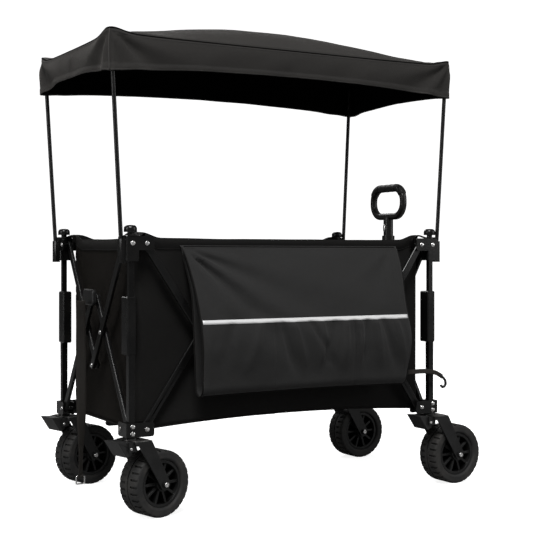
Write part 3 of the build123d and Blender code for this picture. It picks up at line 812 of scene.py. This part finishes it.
def make_floor():
    """The floor in three panels that fold with the hub and its struts."""
    hub = abs(pivot("floor_front_strut_pivot").x)
    edge_x, edge_y = BASKET_X - 1 * MM, BASKET_Y - 1 * MM
    spans = {
        "floor_hub": spaced(-hub, hub, 12),
        "floor_rear_strut": spaced(-edge_x, -hub, 30),
        "floor_front_strut": spaced(hub, edge_x, 30),
    }
    for body, xs in spans.items():
        points = []
        for x in xs:
            row = []
            for y in spaced(-edge_y, edge_y, 36):
                rise = (foot_height(x) - FLOOR_Z) * smooth(0.45, 1.0, abs(y) / edge_y)
                quilt = 1.2 * MM * ripple((x, y, 0), 0.06, 4.0) * (1 - (abs(y) / edge_y) ** 4)
                row.append(Vector((x, y, FLOOR_Z + rise + quilt)))
            points.append(row)
        name = body.replace("floor_", "floor_cloth_")
        panel = make_sheet(name, points, body, [BASKET_CLOTH], 2.0 * MM, 1.0)
        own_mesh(panel)


def make_corner_tabs():
    """Cloth tabs that run from the basket's corners over the brackets and under the knobs."""
    for end, side in CORNERS:
        sx, sy = ENDS[end], SIDES[side]
        post = pivot(f"{end}_{side}_swivel")
        inward = Vector((-sx, -sy, 0)).normalized()
        across = Vector((-inward.y, inward.x, 0))
        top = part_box(f"{end}_{side}_upper_post")[1].z - 22.5 * MM
        corner_reach = math.hypot(abs(post.x) - BASKET_X, abs(post.y) - BASKET_Y)
        points = []
        for travel in spaced(-19 * MM, corner_reach + 25 * MM, 16):
            level = top + 6.5 * MM * smooth(6 * MM, corner_reach, travel)
            flat = min(travel, corner_reach + 5 * MM)
            over = max(0.0, travel - flat)
            middle = Vector((post.x, post.y, 0)) + inward * flat
            width = 21 * MM * math.sqrt(max(0.0, 1 - bell(travel, -21 * MM, 13 * MM) ** 0.8)) + 1 * MM
            row = []
            for slip in spaced(-1, 1, 8):
                droop = 3.0 * MM * abs(slip) ** 3
                row.append(middle + across * width * slip + UP * (level - droop - over))
            points.append(row)
        name, body = f"{end}_{side}_corner_tab", f"{end}_{side}_upper_post"
        tab = make_sheet(name, points, body, [BASKET_HEM], 1.6 * MM)
        rounding = tab.modifiers.new("subdivision", "SUBSURF")
        rounding.levels = rounding.render_levels = 1


make_basket()
make_floor()
make_corner_tabs()


# ---------------------------------------------------------------- side sling

sling_low, sling_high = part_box("side_sling")
SLING_TOP = sling_high.z - 2 * MM
SLING_FRONT, SLING_BACK = sling_low.y, sling_high.y - 1 * MM
SLING_X = (sling_low.x + 2 * MM, sling_high.x + 11 * MM)
SLING_BOTTOM = sling_low.z + 1 * MM
SLING_START = -BASKET_Y - 3 * MM  # where the sleeve leaves the basket's wall
ROLL = (SLING_BACK - SLING_FRONT) / 2
TAPE_Z = 0.444
TAPE_HALF = 4.8 * MM
DIVIDERS = (-0.076, 0.146)
FRONT_END, ROLL_END = 0.55, 0.70  # section steps where the front and the roll end
POCKET_END = 0.60
TUCK_IN = 0.10  # how far the front draws back above the roll, as a share of its reach
FULLEST = 0.72  # the share of the front's height where it reaches furthest out
CORNER_FOLDS = ((14, 5, 6.0), (24, 5, -11.0), (34, 5, 14.0), (44, 5, -11.0), (56, 6, 8.0), (71, 6, -5.0))
AHEAD_FOLDS = ((33, 7, 5.0), (52, 8, -4.0), (72, 8, 2.5))
GATHERS = (  # place under the tape, place lower down, width, height in mm
    (-0.190, -0.215, 12 * MM, -3.2),
    (-0.115, -0.150, 11 * MM, 2.6),
    (-0.062, -0.030, 8 * MM, -4.8),
    (-0.034, 0.000, 9 * MM, 4.2),
    (0.014, 0.078, 9 * MM, -4.6),
    (0.050, 0.050, 9 * MM, 4.2),
    (0.092, 0.060, 8 * MM, -4.4),
    (0.120, 0.112, 9 * MM, 4.0),
    (0.160, 0.160, 7 * MM, 4.4),
    (0.184, 0.170, 7 * MM, -4.4),
    (0.205, 0.220, 9 * MM, 4.2),
    (0.226, 0.262, 8 * MM, -4.6),
    (0.262, 0.292, 9 * MM, 3.4),
)


def sling_section(step):
    """The sleeve's section as (y, z): out from the hem, down the front, round the bottom, up the back."""
    roll_z = SLING_BOTTOM + ROLL
    reach = SLING_FRONT - SLING_START
    if step < FRONT_END:
        share = step / FRONT_END
        out = math.sin(math.pi / 2 * min(1.0, share / FULLEST)) ** 0.9 - TUCK_IN * smooth(FULLEST, 1.0, share)
        return SLING_START + reach * out, SLING_TOP + (roll_z - SLING_TOP) * share
    if step < ROLL_END:
        turn = math.pi * (step - FRONT_END) / (ROLL_END - FRONT_END)
        lip = SLING_FRONT - TUCK_IN * reach
        middle, half = (lip + SLING_BACK) / 2, (SLING_BACK - lip) / 2
        return middle - half * math.cos(turn), roll_z - ROLL * math.sin(turn)
    share = (step - ROLL_END) / (1 - ROLL_END)
    hem_y, hem_z = -BASKET_Y - 4 * MM, SLING_TOP - 6 * MM
    return SLING_BACK + (hem_y - SLING_BACK) * smooth(0.62, 1.0, share), roll_z + (hem_z - roll_z) * share


def sling_ends(z):
    """The sleeve's rear and front edges at a height."""
    drop = min(1.0, max(0.0, (SLING_TOP - z) / (SLING_TOP - SLING_BOTTOM)))
    rear = SLING_X[0] + 24 * MM * math.sqrt(drop)
    front = SLING_X[1] + 22 * MM * (1 - smooth(0.0, 0.55, drop))
    front += 15 * MM * math.sin(math.pi * smooth(0.30, 1.08, drop))
    return rear, front


def sling_point(along, step, proud=0.0):
    """A point of the sleeve: along 0 at its rear end and 1 at its front end."""
    y, z = sling_section(step)
    rear, ahead = sling_ends(z)
    x = rear + (ahead - rear) * along
    front = smooth(0.0, 0.05, step) * (1 - smooth(0.62, ROLL_END, step))
    end = smooth(0.0, 0.05, along) * smooth(0.0, 0.05, 1 - along)
    swell = 3.0 * MM * ripple((x, 0, z), 0.15, 21.0) + 1.2 * MM * ripple((x, 0, z * 1.3), 0.045, 23.0)
    fall = SLING_TOP - z
    swell += fan(x - SLING_X[0], fall, CORNER_FOLDS, (6 * MM, 55 * MM), 280 * MM)
    swell += fan(SLING_X[1] - x, fall, AHEAD_FOLDS, (6 * MM, 50 * MM), 120 * MM)
    low = smooth(0.45, ROLL_END, step) * (1 - smooth(ROLL_END, 0.85, step))
    sag = 5 * MM * math.sin(math.pi * along) * low
    taut = 1 - 0.85 * bell(z, TAPE_Z, 16 * MM)
    y -= front * end * swell * taut + proud
    return Vector((x, y, z + sag))


def pocket_swell(along, step):
    """How far the pocket panel stands off the sleeve: gathered under the tape, held at the dividers."""
    rear, ahead = sling_ends(sling_section(step)[1])
    x = rear + (ahead - rear) * along
    share = (step - TAPE_STEP) / (POCKET_END - TAPE_STEP)
    swell = 5.0 * MM * math.sin(math.pi * min(1.0, max(0.0, share)) ** 0.7)
    folds = 0.0
    for top, low, width, height in GATHERS:
        folds += height * bell(x, top + (low - top) * share / 0.6, width * (0.8 + 1.1 * share))
    swell += 1.7 * folds * MM * smooth(0.0, 0.12, share) * (1 - smooth(0.40, 0.85, share))
    for divider in DIVIDERS:
        swell *= 1 - 0.85 * bell(x, divider, 6 * MM)
    swell *= smooth(0.0, 0.03, along) * smooth(0.0, 0.03, 1 - along)
    return 1.6 * MM + max(swell, -1.0 * MM)


def step_at(height):
    """The section step on the sleeve's front at a height."""
    low, high = 0.0, FRONT_END
    for _ in range(40):
        middle = (low + high) / 2
        if sling_section(middle)[1] > height:
            low = middle
        else:
            high = middle
    return low


TAPE_STEP = step_at(TAPE_Z + TAPE_HALF)


def pocket_point(along, step, lift=0.0):
    """A point of the pocket panel's face, or lifted off it."""
    return sling_point(along, step, pocket_swell(along, step) + lift)


def make_sling():
    """The sleeve, its pocket panel and tape, and the rows of stitches and bindings on them."""
    body, slot = "rear_right_upper_post", "sling_cloth"
    steps = spaced(0.0, FRONT_END, 52)[:-1] + spaced(FRONT_END, ROLL_END, 16)[:-1] + spaced(ROLL_END, 1.0, 14)
    points = [[sling_point(along, step) for along in spaced(0.0, 1.0, 110)] for step in steps]
    sleeve = make_sheet("sling_sleeve", points, body, [SLING_CLOTH], 1.3 * MM)
    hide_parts("side_sling")

    steps = spaced(TAPE_STEP, POCKET_END, 44)
    points = [[pocket_point(along, step) for along in spaced(0.004, 0.996, 150)] for step in steps]
    panel = make_sheet("sling_pocket_panel", points, body, [SLING_CLOTH], 1.2 * MM)

    tape_steps = [TAPE_STEP, step_at(TAPE_Z), step_at(TAPE_Z - TAPE_HALF)]
    alongs = spaced(0.006, 0.991, 120)
    points = [[pocket_point(along, step, 1.3 * MM) for along in alongs] for step in tape_steps]
    tape = make_sheet("sling_reflective_tape", points, body, [TAPE], 0.8 * MM)

    outward = Vector((0, -1, 0))
    rows = []
    fine = spaced(0.01, 0.99, 90)
    for step, lift in ((0.012, 0.8), (0.595, 2.4)):
        rows.append(([sling_point(a, step, lift * MM) for a in fine], outward))
    for divider in DIVIDERS:
        path = []
        for step in spaced(tape_steps[-1], 0.58, 23):
            rear, ahead = sling_ends(sling_section(step)[1])
            path.append(pocket_point((divider - rear) / (ahead - rear), step, 0.7 * MM))
        rows.append((path, outward))
    stitches = stitch_piece("sling_stitching", rows, body)

    bm = bmesh.new()
    for along in (0.0, 1.0):
        edge = [sling_point(along, step) for step in spaced(0.02, 0.98, 60)]
        add_tube(bm, edge, 1.7 * MM, outward=Vector((1, 0, 0)))
    add_tube(bm, [sling_point(a, 0.61) + Vector((0, -1.6 * MM, -0.6 * MM)) for a in fine], 1.6 * MM)
    add_tube(bm, [sling_point(a, 0.004) + Vector((0, -0.8 * MM, 0)) for a in fine], 1.5 * MM)
    binding = new_piece("sling_binding", bm, body, [BASKET_HEM])
    for soft in (sleeve, panel, tape, stitches, binding):
        gather_long(soft)


def ribbon(bm, path, widths, normals, thickness):
    """A flat strap along a path as a closed band with rounded edges."""
    face = (-0.94, -0.5, 0, 0.5, 0.94)
    section = [(-1, 0)] + [(a, 1) for a in face] + [(1, 0)] + [(-a, -1) for a in face]
    rings = []
    path = [Vector(point) for point in path]
    for point, ahead, width, normal in zip(path, frames_along(path), widths, normals):
        side = ahead.cross(Vector(normal)).normalized()
        lift = side.cross(ahead).normalized()
        rings.append([point + side * a * width / 2 + lift * b * thickness / 2 for a, b in section])
    add_loft(bm, rings)


def flowing(points, count):
    """A smooth path through points, with count steps between each two."""
    points = [Vector(point) for point in points]
    path = []
    for k in range(len(points) - 1):
        before = points[max(k - 1, 0)]
        start, end = points[k], points[k + 1]
        after = points[min(k + 2, len(points) - 1)]
        for n in range(count):
            t = n / count
            path.append(0.5 * (
                2 * start + (end - before) * t
                + (2 * before - 5 * start + 4 * end - after) * t ** 2
                + (3 * start - before - 3 * end + after) * t ** 3
            ))
    path.append(points[-1])
    return path


def make_tie_strap():
    """The sling's short tie strap with its hook, reaching past the front post."""
    bm = bmesh.new()
    x, z = SLING_X[1], SLING_BOTTOM + ROLL + 6 * MM
    path = flowing([
        (x - 12 * MM, -0.266, z), (x + 26 * MM, -0.268, z - 1 * MM), (x + 74 * MM, -0.262, z - 2 * MM),
        (x + 112 * MM, -0.257, z - 8 * MM), (x + 136 * MM, -0.255, z - 20 * MM),
    ], 8)
    ribbon(bm, path, [12 * MM] * len(path), [(0, -1, 0.15)] * len(path), 1.8 * MM)
    strap = new_piece("sling_tie_strap", bm, "rear_right_upper_post", [WEBBING])
    bm = bmesh.new()
    bends = ((-8, 5), (0, 0), (9, -10), (10, -21), (2, -27), (-5, -22))
    hook = flowing([path[-1] + Vector((dx * MM, 0, dz * MM)) for dx, dz in bends], 5)
    add_tube(bm, hook, 3.4 * MM, 10, Vector((0, 1, 0)))
    tip = new_piece("sling_tie_hook", bm, "rear_right_upper_post", [LOOKS["hub"]])
    for soft in (strap, tip):
        gather_long(soft)


def make_rear_strap():
    """Webbing hanging from the rear hub, with a flat ring sewn in at its end."""
    body, slot = "rear_end_upper_hub", "webbing"
    low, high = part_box("rear_strap")
    middle_x, middle_y = (low.x + high.x) / 2, (low.y + high.y) / 2
    ring_top = low.z + 16 * MM
    points = []
    for share in spaced(0, 1, 8):
        sway = 2.5 * MM * math.sin(3.6 * share)
        drape = 3.0 * MM * math.sin(5.2 * share) * smooth(0.0, 0.3, share)
        points.append((middle_x + sway, middle_y + drape, high.z - (high.z - ring_top) * share))
    path = flowing(points, 7)
    widths, normals = [], []
    for share in spaced(0, 1, len(path) - 1):
        widths.append(24 * MM - 9 * MM * smooth(0.55, 1.0, share))
        twist = 0.35 * math.sin(4.0 * share) * smooth(0, 0.4, share) - 0.5 * bell(share, 0.86, 0.16)
        normals.append((math.sin(twist), math.cos(twist), 0))
    bm = bmesh.new()
    ribbon(bm, path, widths, normals, 1.9 * MM)
    strap = new_piece("rear_strap_webbing", bm, body, [WEBBING])
    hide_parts("rear_strap")

    end = Vector(path[-1])
    half_w, half_h, corner = 10.5 * MM, 9 * MM, 2.5 * MM
    wire_w, wire_y = 1.7 * MM, Vector((0, 1.3 * MM, 0))
    centre = end - UP * (half_h - 1.5 * MM)
    loop = []
    for cx, cz, first in ((1, 1, 0), (-1, 1, 1), (-1, -1, 2), (1, -1, 3)):
        for turn in spaced(math.pi / 2 * first, math.pi / 2 * (first + 1), 4):
            x = cx * (half_w - corner) + corner * math.cos(turn)
            loop.append(centre + Vector((x, 0, cz * (half_h - corner) + corner * math.sin(turn))))
    rings = []
    for k, point in enumerate(loop):
        ahead = (loop[(k + 1) % len(loop)] - loop[k - 1]).normalized()
        side = ahead.cross(Vector((0, 1, 0))).normalized()
        rings.append([point + side * c * wire_w + wire_y * s for c, s in circle(10)])
    bm = bmesh.new()
    add_ring(bm, rings)
    new_piece("rear_strap_ring", bm, body, [STEEL])

    bm = bmesh.new()
    round_turn = circle(12) + [(1.0, 0.0)]
    cuff = [end + Vector((0, 3.3 * MM * s, 2.6 * MM * c + 0.6 * MM)) for c, s in round_turn]
    ribbon(bm, cuff, [13.5 * MM] * len(cuff), [(0, s, c) for c, s in round_turn], 1.4 * MM)
    new_piece("rear_strap_cuff", bm, body, [WEBBING])
    rows = []
    for n in range(4):
        height = high.z - 14 * MM - 7 * MM * n
        ends = [Vector((middle_x + way * 10 * MM, middle_y - 1.1 * MM, height)) for way in (-1, 1)]
        rows.append((ends, Vector((0, -1, 0))))
    stitch_piece("rear_strap_stitching", rows, body)


make_sling()
make_tie_strap()
make_rear_strap()


# ---------------------------------------------------------------- bright hardware

RIVET = 5.7 * MM
JACKET = 15.5 * MM  # from a post's middle to a bracket's outer face
SIDE_INSET = abs(pivot("rear_right_swivel").x - pivot("fold").x)
END_INSET = abs(pivot("rear_right_swivel").y - pivot("rear_end_right_foot_bar_bracket_pivot").y)
LOW_Z = pivot("fold").z
HIGH_Z = pivot("rear_right_upper_post_side_pivot").z
BAR_HALF = 4 * MM  # half a bar's thickness
BAR_OUT_Y = abs(pivot("right_side_rear_top_bar_crossing").y)
BAR_OUT_X = abs(pivot("rear_end_right_top_bar_crossing").x)
PIN_FAR = 14.3 * MM  # from a bar's middle to its pin's far end
AXLE_END = 46 * MM  # from a wheel's middle to the axle's end
BRAKE_END = 32 * MM
CROWN_HALF = (20.5 * MM, 37.5 * MM)
CROWN_BORE = 15.4 * MM
CROWN_SHIFT = 11 * MM
CROWN_POWER = 5.0  # how square the crown plate's rounded outline is
BOLT = ((5.6, -0.3), (5.6, 1.2), (4.8, 2.0), (2.6, 2.1), (2.2, 1.3), (0.5, 1.3))
DOME = ((1.0, 0.0), (1.0, 0.16), (0.93, 0.24), (0.86, 0.5), (0.68, 0.78), (0.42, 0.94), (0.12, 1.0))
BUTTON = ((1.0, 0.0), (1.0, 0.5), (0.9, 0.8), (0.6, 1.0), (0.2, 1.06))
LOOP_HEIGHT = 97 * MM
LOOP_TOP, LOOP_SIDE = 18.5 * MM, 17 * MM
LOOP_CORNER = 35 * MM
LOOP_DEPTH = 18 * MM
SLEEVE_LIFT = 1.2 * MM  # how far the soft sleeve stands off the loop


def add_rivet(bm, place, axis, radius=RIVET, height=2.7 * MM):
    """A domed rivet head with a thin flange, standing on a face."""
    add_turned(bm, place, axis, [(radius * r, height * h) for r, h in DOME], 20)


def rivet_groups():
    """Every rivet's (place, axis), by the body that carries it."""
    groups = {}

    def put(body, place, axis):
        groups.setdefault(body, []).append((Vector(place), Vector(axis)))

    for end, side in CORNERS:
        sx, sy = ENDS[end], SIDES[side]
        post = pivot(f"{end}_{side}_swivel")
        for level, z in (("lower", LOW_Z), ("upper", HIGH_Z)):
            body = f"{end}_{side}_{level}_post"
            for way in (-1, 1):
                put(body, (post.x - sx * SIDE_INSET, post.y + way * JACKET, z), (0, way, 0))
                put(body, (post.x + way * JACKET, post.y - sy * END_INSET, z), (way, 0, 0))
        for z in (LOW_Z - 8 * MM, LOW_Z + 8 * MM):
            put(f"{end}_{side}_lower_post", (post.x, post.y + sy * JACKET, z), (0, sy, 0))
        put(f"{end}_{side}_upper_post", (post.x, post.y + sy * JACKET, HIGH_Z), (0, sy, 0))
        cross = pivot(f"right_side_{end}_{'top' if end == 'rear' else 'foot'}_bar_crossing")
        body = f"{side}_side_{end}_top_bar"
        put(body, (cross.x, sy * (BAR_OUT_Y + BAR_HALF), cross.z), (0, sy, 0))
        put(body, (cross.x, sy * (BAR_OUT_Y - PIN_FAR), cross.z), (0, -sy, 0))
        cross = pivot("rear_end_right_top_bar_crossing")
        body = f"{end}_end_{side}_{'top' if side == 'right' else 'foot'}_bar"
        put(body, (sx * (BAR_OUT_X + BAR_HALF), sy * abs(cross.y), cross.z), (sx, 0, 0))
        put(body, (sx * (BAR_OUT_X - PIN_FAR), sy * abs(cross.y), cross.z), (-sx, 0, 0))
    for side, sy in SIDES.items():
        for level in ("lower", "upper"):
            low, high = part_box(f"{side}_side_{level}_hub")
            face = low.y + 2 * MM if sy < 0 else high.y - 2 * MM
            hub = abs(pivot("right_side_lower_hub_pivot").x)
            for way in (-1, 1):
                put(f"{side}_side_{level}_hub", (way * hub, face, (low.z + high.z) / 2), (0, sy, 0))
    low_z = sum(corner.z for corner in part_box("handle_bracket")) / 2
    put("rear_end_right_top_bar", (-BAR_OUT_X - BAR_HALF, 0, low_z), (-1, 0, 0))
    high_z = pivot("rear_end_upper_hub_pivot").z
    put("front_end_left_foot_bar", (BAR_OUT_X + BAR_HALF, 0, high_z), (1, 0, 0))
    return groups


def make_rivets():
    """One piece of rivet heads for each body that carries any."""
    for body, places in rivet_groups().items():
        bm = bmesh.new()
        for place, axis in places:
            add_rivet(bm, place, axis)
        new_piece(f"rivets_{body}", bm, body, [STEEL])


def make_caster_hardware():
    """Axle bolts, brake rivets and the plated crown plate of each caster."""
    for end, side in CORNERS:
        corner = f"{end}_{side}"
        fork = f"{corner}_caster_fork"
        axle, across = pivot(f"{corner}_wheel_spin"), axis_of(f"{corner}_wheel_spin")
        brake, swivel = pivot(f"{corner}_brake"), pivot(f"{corner}_swivel")
        trail = Vector((axle.x - swivel.x, axle.y - swivel.y, 0)).normalized()
        bm = bmesh.new()
        for way in (-1, 1):
            add_turned(bm, axle + across * way * AXLE_END, across * way, [(r * MM, h * MM) for r, h in BOLT])
            add_rivet(bm, brake + across * way * BRAKE_END, across * way, 3.4 * MM, 1.8 * MM)
        bolts = new_piece(f"{corner}_axle_nuts", bm, fork, [STEEL], False)
        bolts.modifiers.new("edges", "BEVEL").width = 0.4 * MM
        outer, inner = [], []
        for c, s in circle(48):
            scale = (abs(c) ** CROWN_POWER + abs(s) ** CROWN_POWER) ** (-1 / CROWN_POWER)
            along = CROWN_SHIFT + CROWN_HALF[0] * c * scale
            outer.append(swivel + trail * along + across * CROWN_HALF[1] * s * scale)
            inner.append(swivel + trail * CROWN_BORE * c + across * CROWN_BORE * s)
        low, high = swivel.z - 4 * MM, swivel.z - 2.6 * MM
        bm = bmesh.new()
        edges = ((inner, low), (inner, high), (outer, high), (outer, low))
        add_ring(bm, [[Vector((point.x, point.y, z)) for point in loop] for loop, z in edges])
        new_piece(f"{corner}_crown_plate", bm, fork, [PLATED], False)


def make_handle_hardware():
    """The neck's release button, the pivot pin's heads and the loop's soft ribbed sleeve."""
    low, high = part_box("handle_grip")
    axis_x = (low.x + high.x) / 2
    bm = bmesh.new()
    button = Vector((axis_x - 13.4 * MM, 0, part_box("handle_outer_tube")[1].z + 21 * MM))
    rings = []
    for radius, height in BUTTON:
        half_y, half_z = 4.6 * MM * radius, 12 * MM * radius
        rings.append([button + Vector((-height * 2.4 * MM, c * half_y, s * half_z)) for c, s in circle(28)])
    add_loft(bm, rings)
    new_piece("handle_release_button", bm, "handle_slider", [STEEL])
    bm = bmesh.new()
    for way in (-1, 1):
        face = pivot("handle_pivot") + Vector((0, way * 15.6 * MM, 0))
        add_rivet(bm, face, (0, way, 0), 6.2 * MM, 3.4 * MM)
    new_piece("handle_pin_heads", bm, "handle_bracket", [STEEL])

    half_y = (high.y - low.y) / 2 - LOOP_SIDE / 2 - LOOP_CORNER
    half_z = (LOOP_HEIGHT - LOOP_TOP) / 2 - LOOP_CORNER
    arcs = []
    for way, first, last in ((1, 25, 90), (-1, 90, 155)):
        centre = Vector((axis_x, way * half_y, high.z - LOOP_HEIGHT / 2 + half_z))
        for turn in spaced(math.radians(first), math.radians(last), 18):
            out = Vector((0, math.cos(turn), math.sin(turn)))
            band = min(LOOP_TOP, LOOP_TOP * abs(out.z) + LOOP_SIDE * abs(out.y))
            arcs.append((centre + out * LOOP_CORNER, out, band))
    path = []
    for k, ((place, out, band), (place_b, out_b, band_b)) in enumerate(zip(arcs, arcs[1:])):
        for share in spaced(0.0, 1.0, 12 if k == 18 else 2)[:-1]:
            middle_out = out.lerp(out_b, share).normalized()
            path.append((place.lerp(place_b, share), middle_out, band + (band_b - band) * share))
    path.append(arcs[-1])
    rings = []
    for n, (centre, outward, band) in enumerate(path):
        lift = 0.2 * MM + SLEEVE_LIFT * smooth(0, 3, n) * smooth(0, 3, len(path) - 1 - n)
        lift += 0.35 * MM * math.sin(n * math.pi / 2)
        size_x, size_out = LOOP_DEPTH / 2 + lift, band / 2 + lift
        ring = []
        for c, s in circle(20):
            square = (abs(c) ** 2.6 + abs(s) ** 2.6) ** (-1 / 2.6)
            ring.append(centre + Vector((size_x * c * square, 0, 0)) + outward * size_out * s * square)
        rings.append(ring)
    bm = bmesh.new()
    add_loft(bm, rings)
    bmesh.ops.recalc_face_normals(bm, faces=bm.faces)
    new_piece("handle_soft_sleeve", bm, "handle_slider", [SOFT_GRIP])


make_rivets()
make_caster_hardware()
make_handle_hardware()


# ---------------------------------------------------------------- stage, light and camera

PAPER_BOUNCE = 0.25  # the paper's brightness to everything but the camera
PAPER_GLOW = 0.85
ROOM_LIGHT = 0.22
VIEW_HEADING = math.radians(60.46)
VIEW = Vector((math.cos(VIEW_HEADING), math.sin(VIEW_HEADING), 0))
CAMERA_PLACE = Vector((-1.417, -2.646, 0.598))
CAMERA_LENS = 75.5
CAMERA_SHIFT = -0.0364
PAPER_HALF, PAPER_NEAR, PAPER_FAR, PAPER_TOP, PAPER_BEND = 14.0, -12.0, 9.0, 12.0, 3.0


def make_stage():
    """A plain pale floor that curves up behind the wagon."""
    profile = [(PAPER_NEAR, 0.0)]
    for turn in spaced(0.0, math.pi / 2, 12):
        ahead = PAPER_FAR - PAPER_BEND + PAPER_BEND * math.sin(turn)
        profile.append((ahead, PAPER_BEND - PAPER_BEND * math.cos(turn)))
    profile.append((PAPER_FAR, PAPER_TOP))
    side = Vector((-VIEW.y, VIEW.x, 0))
    rows = []
    for distance, height in profile:
        rows.append([VIEW * distance + side * across + UP * height for across in (-PAPER_HALF, PAPER_HALF)])
    bm = bmesh.new()
    add_grid(bm, rows)
    mesh = bpy.data.meshes.new("studio_floor")
    for face in bm.faces:
        face.smooth = True
    bm.to_mesh(mesh)
    bm.free()
    sh = Shader("studio_paper")
    cloud = sh.noise(sh.place(), 2.0, 2.0)
    seen = sh.node("LightPath").outputs["Is Camera Ray"]
    tone = sh.mix(sh.span(cloud, 0.3, 0.7, 0.0, 1.0), grey(0.86), grey(0.88))
    mesh.materials.append(sh.finish(
        Base_Color=sh.mix(seen, grey(PAPER_BOUNCE), tone),
        Roughness=0.9,
        Specular_IOR_Level=0.0,
        Emission_Color=grey(1.0),
        Emission_Strength=sh.math("MULTIPLY", seen, PAPER_GLOW),
    ))
    floor = bpy.data.objects.new("studio_floor", mesh)
    bpy.context.scene.collection.objects.link(floor)


def add_light(name, place, size, power):
    """A soft rectangular light aimed at the wagon's middle."""
    light = bpy.data.lights.new(name, "AREA")
    light.shape = "RECTANGLE"
    light.size, light.size_y = size
    light.energy = power
    lamp = bpy.data.objects.new(name, light)
    lamp.location = place
    lamp.rotation_euler = (Vector((0, 0, 0.6)) - Vector(place)).to_track_quat("-Z", "Y").to_euler()
    bpy.context.scene.collection.objects.link(lamp)


def make_camera():
    """The camera stands level behind and to the right of the wagon."""
    data = bpy.data.cameras.new("camera")
    data.sensor_width = 36.0
    data.lens = CAMERA_LENS
    data.shift_y = CAMERA_SHIFT
    camera = bpy.data.objects.new("camera", data)
    camera.location = CAMERA_PLACE
    camera.rotation_euler = VIEW.to_track_quat("-Z", "Y").to_euler()
    bpy.context.scene.collection.objects.link(camera)
    bpy.context.scene.camera = camera


def make_world():
    """White to the camera, dim to everything else."""
    world = bpy.data.worlds.new("studio")
    world.use_nodes = True
    nodes, links = world.node_tree.nodes, world.node_tree.links
    background = nodes["Background"]
    background.inputs["Color"].default_value = (1.0, 1.0, 1.0, 1.0)
    path = nodes.new("ShaderNodeLightPath")
    span = nodes.new("ShaderNodeMapRange")
    span.inputs["To Min"].default_value = ROOM_LIGHT
    links.new(path.outputs["Is Camera Ray"], span.inputs["Value"])
    links.new(span.outputs[0], background.inputs["Strength"])
    bpy.context.scene.world = world


make_world()
make_stage()
make_camera()
add_light("key", (-1.5, -2.4, 4.0), (1.6, 1.6), 215)
add_light("fill", (2.9, -2.4, 1.6), (0.9, 2.4), 26)
add_light("left_strip", (-3.4, -0.4, 1.6), (0.5, 2.4), 30)
add_light("back", (0.5, 3.4, 2.8), (3.0, 1.2), 60)
bpy.context.scene.view_settings.view_transform = "Standard"
